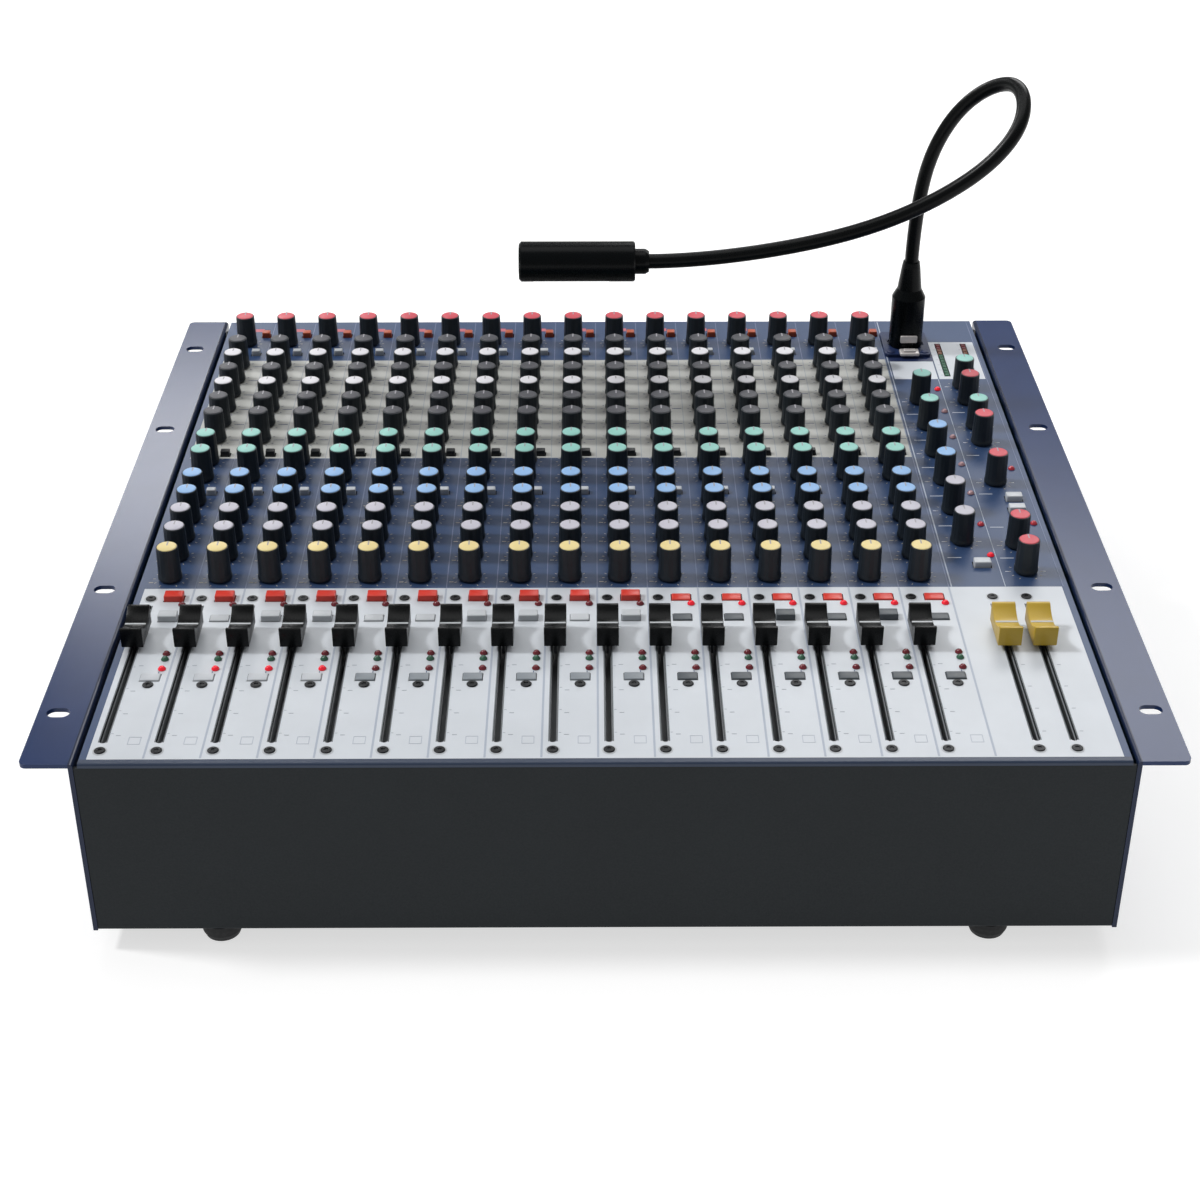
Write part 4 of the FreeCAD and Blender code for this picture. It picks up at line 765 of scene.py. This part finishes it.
def mark_strip(marks, slot_x, rows):
    """Scale marks beside a fader, its label box, and dashes beside the strip's knobs and buttons."""
    for y in LEVELS:
        across(marks, slot_x + 4.6, slot_x + 6.6, y, 0.35, "ink_grey")
    for step in range(5):
        across(marks, slot_x + 2.4, slot_x + 3.4, SCALE_START + SCALE_STEP * step, 0.25, "ink_grey")
    across(marks, slot_x + 8.0, slot_x + 13.0, SOLO_LINE, 0.35, "ink_blue")
    upright(marks, slot_x + 14.2, SOLO_LINE - 0.1, SOLO_LINE + 2.8, 0.35, "ink_blue")
    across(marks, slot_x + 13.0, slot_x + 14.3, SOLO_LINE, 0.35, "ink_blue")
    bar(marks, (slot_x + 8.0, 429.4), (slot_x + 13.2, 433.2), "ink_rose")
    for side in LABEL_SIDES:
        upright(marks, slot_x + side, *LABEL_ENDS, 0.25, "strip_line")
    for y in LABEL_ENDS:
        across(marks, slot_x + LABEL_SIDES[0], slot_x + LABEL_SIDES[1], y, 0.25, "strip_line")
    for y in rows.values():
        if EQUALISER[0] < y < EQUALISER[1]:
            across(marks, slot_x + 14.2, slot_x + 18.2, y, 0.5, "ink_blue")
    for name in AUX_WITH_DASHES:
        across(marks, slot_x - 3.6, slot_x - 1.6, rows[name] - 3.5, 0.5, "ink_tan")


def mark_master(marks):
    """The master section's lines, and marks beside its knobs, meters and faders."""
    upright(marks, MASTER_EDGE, BLUE_FIELD[0], GAIN_FIELD[1], 0.6, "strip_line")
    upright(marks, MASTER_RIGHT, BLUE_FIELD[0], GAIN_FIELD[1], 0.4, "separator")
    upright(marks, MASTER_DIVIDER, BLUE_FIELD[0], METER_FIELD, 0.35, "strip_line")
    for x, y, _ in MASTER_KNOBS:
        across(marks, x - 9.6, x - 7.9, y, 0.4, "ink_white")
        across(marks, x + 7.9, x + 9.6, y, 0.4, "ink_white")
    for y in LEFT_DASHES:
        across(marks, 164.4, 171.0, y, 0.45, "ink_white")
    for y in RIGHT_DASHES:
        across(marks, 189.4, 196.0, y, 0.45, "ink_white")
    for x in METER_COLUMNS:
        for step in range(7):
            across(marks, x - 3.6, x - 2.2, METER_SCALE_START + METER_SCALE_STEP * step, 0.3, "ink_grey")
    for slot_x in MASTER_SLOTS:
        for step in range(6):
            across(marks, slot_x + 3.4, slot_x + 5.0, SCALE_START + SCALE_STEP * step, 0.3, "ink_grey")


def make_print(marks):
    """The panel's printed lines and marks, and painted shade along the fader slots, added to the marks round
    the knobs.
    """
    rows = {name: middle(f"knob_{name}").y for name, _ in KNOB_ROWS}
    for n in range(1, CHANNELS + 1):
        edge = SLOTS[0] + STRIP_EDGE + PITCH * n
        upright(marks, edge, *WHITE_FIELD, 0.9, "strip_line")
        upright(marks, edge, *BLUE_FIELD, 0.45, "separator")
        upright(marks, edge, *GREY_FIELD, 0.3, "ink_grey")
        upright(marks, edge, *GAIN_FIELD, 0.45, "separator")
    # Painted shade: dark grey bars along both edges of every fader slot.
    for slot_x in SLOTS + MASTER_SLOTS:
        for x in (slot_x - SLOT_EDGE, slot_x + SLOT_EDGE):
            upright(marks, x, *SLOT_ENDS, 0.5, "slot_edge")
    for slot_x in SLOTS:
        mark_strip(marks, slot_x, rows)
    mark_master(marks)
    show("panel_marks", marks.mesh("panel_marks_mesh"), "console")


def make_trim():
    """Light rings round the fader screws, and the latch and two screws of the lamp's socket."""
    rings = Shape()
    ring = Shape()
    ring.turned([(2.2, 0.0), (3.1, 0.0), (3.1, 0.12), (2.2, 0.12), (2.2, 0.0)], "button_grey", 28)
    for x in SLOTS + MASTER_SLOTS:
        for y in FADER_SCREWS:
            rings.stamp(ring, place(x, y))
    show("screw_rings", rings.mesh("screw_rings_mesh"), "console")
    latch = Shape()
    at = middle("lamp_plug")
    latch.block((11.0, 7.0, 2.2), place(at.x + 0.6, at.y - 14.2, 2.4), "silver", 0.9, 3)
    latch.block((7.0, 3.4, 1.4), place(at.x + 0.6, at.y - 14.6, 3.9), "silver", 0.6, 3)
    latch.block((9.6, 1.6, 4.4), place(at.x + 0.4, at.y - 9.9, 8.6), "silver", 0.7, 3)
    for x in (-9.6, 9.6):
        latch.turned([(0, 1.9), (2.2, 1.9), (2.2, 2.3), (1.9, 2.5), (0, 2.55)], "navy", 24,
                     at=place(at.x + x, at.y - 12.0))
    show("socket_latch", latch.mesh("socket_latch_mesh"), "console")


def make_screws():
    """The flat-headed screws of the faders, strips, sides and rear panel."""
    screws = Shape()
    screw = Shape()
    screw.turned([
        (0, -3.4), (1.5, -3.4), (1.5, 0.05), (2.4, 0.05), (2.4, 0.4), (2.15, 0.6), (1.0, 0.62), (0.8, 0.3),
        (0, 0.3),
    ], "screw_black", 28)
    for x in SLOTS + MASTER_SLOTS:
        for y in FADER_SCREWS:
            screws.stamp(screw, place(x, y))
    for x in SLOTS:
        screws.stamp(screw, place(x + STRIP_SCREW[0], STRIP_SCREW[1]))
    for side in (-1, 1):
        outward = Matrix.Rotation(math.radians(90 * side), 4, "Y")
        for y in SIDE_SCREWS:
            screws.stamp(screw, (side * SIDE_SCREW_X, y, SIDE_SCREW_Z), outward)
    backward = Matrix.Rotation(math.radians(-90), 4, "X")
    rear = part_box("rear_panel")[1].y / MM
    for n in range(-2, 3):
        for z in REAR_SCREW_HEIGHTS:
            screws.stamp(screw, (REAR_SCREW_PITCH * n, rear, z), backward)
    mesh = screws.mesh("fixing_screws_mesh")
    show("fixing_screws_piece", mesh, "console", ["fixing_screws"])


# The gooseneck, in the frame's millimetres: its foot, its radius and its route.
NECK_X, NECK_Y = 174.5, 186.15
NECK_RADIUS = 3.85
NECK_ROUTE = [
    (NECK_X, NECK_Y, 147.0),
    (NECK_X, NECK_Y, 152.5),
    (NECK_X, NECK_Y, 168.5),
    (177.5, 185.0, 207.5),
    (190.0, 184.0, 235.0),
    (204.0, 179.5, 250.0),
    (214.5, 171.5, 256.5),
    (219.5, 162.5, 257.5),
    (221.5, 152.0, 254.0),
    (219.0, 139.5, 246.0),
    (210.5, 130.5, 235.0),
    (193.0, 127.0, 218.5),
    (156.5, 125.0, 198.0),
    (107.0, 120.5, 184.5),
    (50.0, 115.0, 179.0),
    (23.0, 115.0, 179.0),
]


def make_neck():
    """The gooseneck: one smooth sleeve that bends where it leaves its plug."""
    curve = bpy.data.curves.new("neck_curve", "CURVE")
    curve.dimensions = "3D"
    spline = curve.splines.new("NURBS")
    spline.points.add(len(NECK_ROUTE) - 1)
    for point, where in zip(spline.points, NECK_ROUTE):
        point.co = (*(Vector(where) * MM), 1.0)
    spline.order_u = 4
    spline.use_endpoint_u = True
    spline.resolution_u = 12
    curve.bevel_depth = NECK_RADIUS * MM
    curve.bevel_resolution = 10
    curve.use_fill_caps = True
    holder = bpy.data.objects.new("neck_holder", curve)
    bpy.context.scene.collection.objects.link(holder)
    bpy.context.view_layer.update()
    mesh = bpy.data.meshes.new_from_object(holder)
    bpy.data.objects.remove(holder)
    mesh.materials.clear()
    mesh.materials.append(MATERIALS["sleeve"])
    mesh.shade_smooth()
    mesh.set_sharp_from_angle(angle=math.radians(40))
    neck = bpy.data.objects.new("gooseneck_piece", mesh)
    bpy.context.scene.collection.objects.link(neck)
    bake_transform(neck)
    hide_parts("gooseneck")


def make_rear_details():
    """Contacts, tabs and screws of the microphone sockets, the outputs' screws, and rings round the jacks."""
    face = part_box("rear_panel")[1].y / MM
    details = Shape()
    out = Matrix.Rotation(math.radians(-90), 4, "X")
    contact = Shape()
    contact.turned([(0.75, 0.0), (1.3, 0.0), (1.3, 0.35), (0.75, 0.35), (0.75, 0.0)], "brass", 16)
    tab = Shape()
    tab.block((7.0, 3.2, 1.2), (0, -12.6, 0.6), "steel", 0.4, 2)
    screw = Shape()
    screw.turned([(0, 0), (2.4, 0), (2.4, 0.5), (1.6, 1.1), (0, 1.2)], "steel", 20)
    washer = Shape()
    washer.turned([(3.4, 0.0), (5.3, 0.0), (5.3, 0.3), (3.4, 0.3), (3.4, 0.0)], "steel", 28)
    lip = face + SOCKET_LIP
    aside, along = SOCKET_SCREW
    for z in SOCKET_HEIGHTS:
        for n in range(MICROPHONES):
            x = MICROPHONE_X + MICROPHONE_PITCH * n
            for dx, dz in ((3.6, 2.2), (-3.6, 2.2), (0.0, -3.6)):
                details.stamp(contact, (x + dx, lip, z - dz), out)
            details.stamp(tab, (x, lip, z), out)
            for side in (-1, 1):
                details.stamp(screw, (x + side * aside, lip, z - side * along), out)
        for side in (-1, 1):
            details.stamp(screw, (OUTPUT_X + side * aside, lip, z - side * along), out)
        for n in range(JACKS):
            details.stamp(washer, (JACK_X + JACK_PITCH * n, face + JACK_LIP, z), out)
    show("rear_details", details.mesh("rear_details_mesh"), "console")


make_camera()
make_studio()
dress_frame()
panel_marks = make_knobs()
make_buttons()
make_faders()
make_leds()
make_print(panel_marks)
make_trim()
make_screws()
make_neck()
make_rear_details()
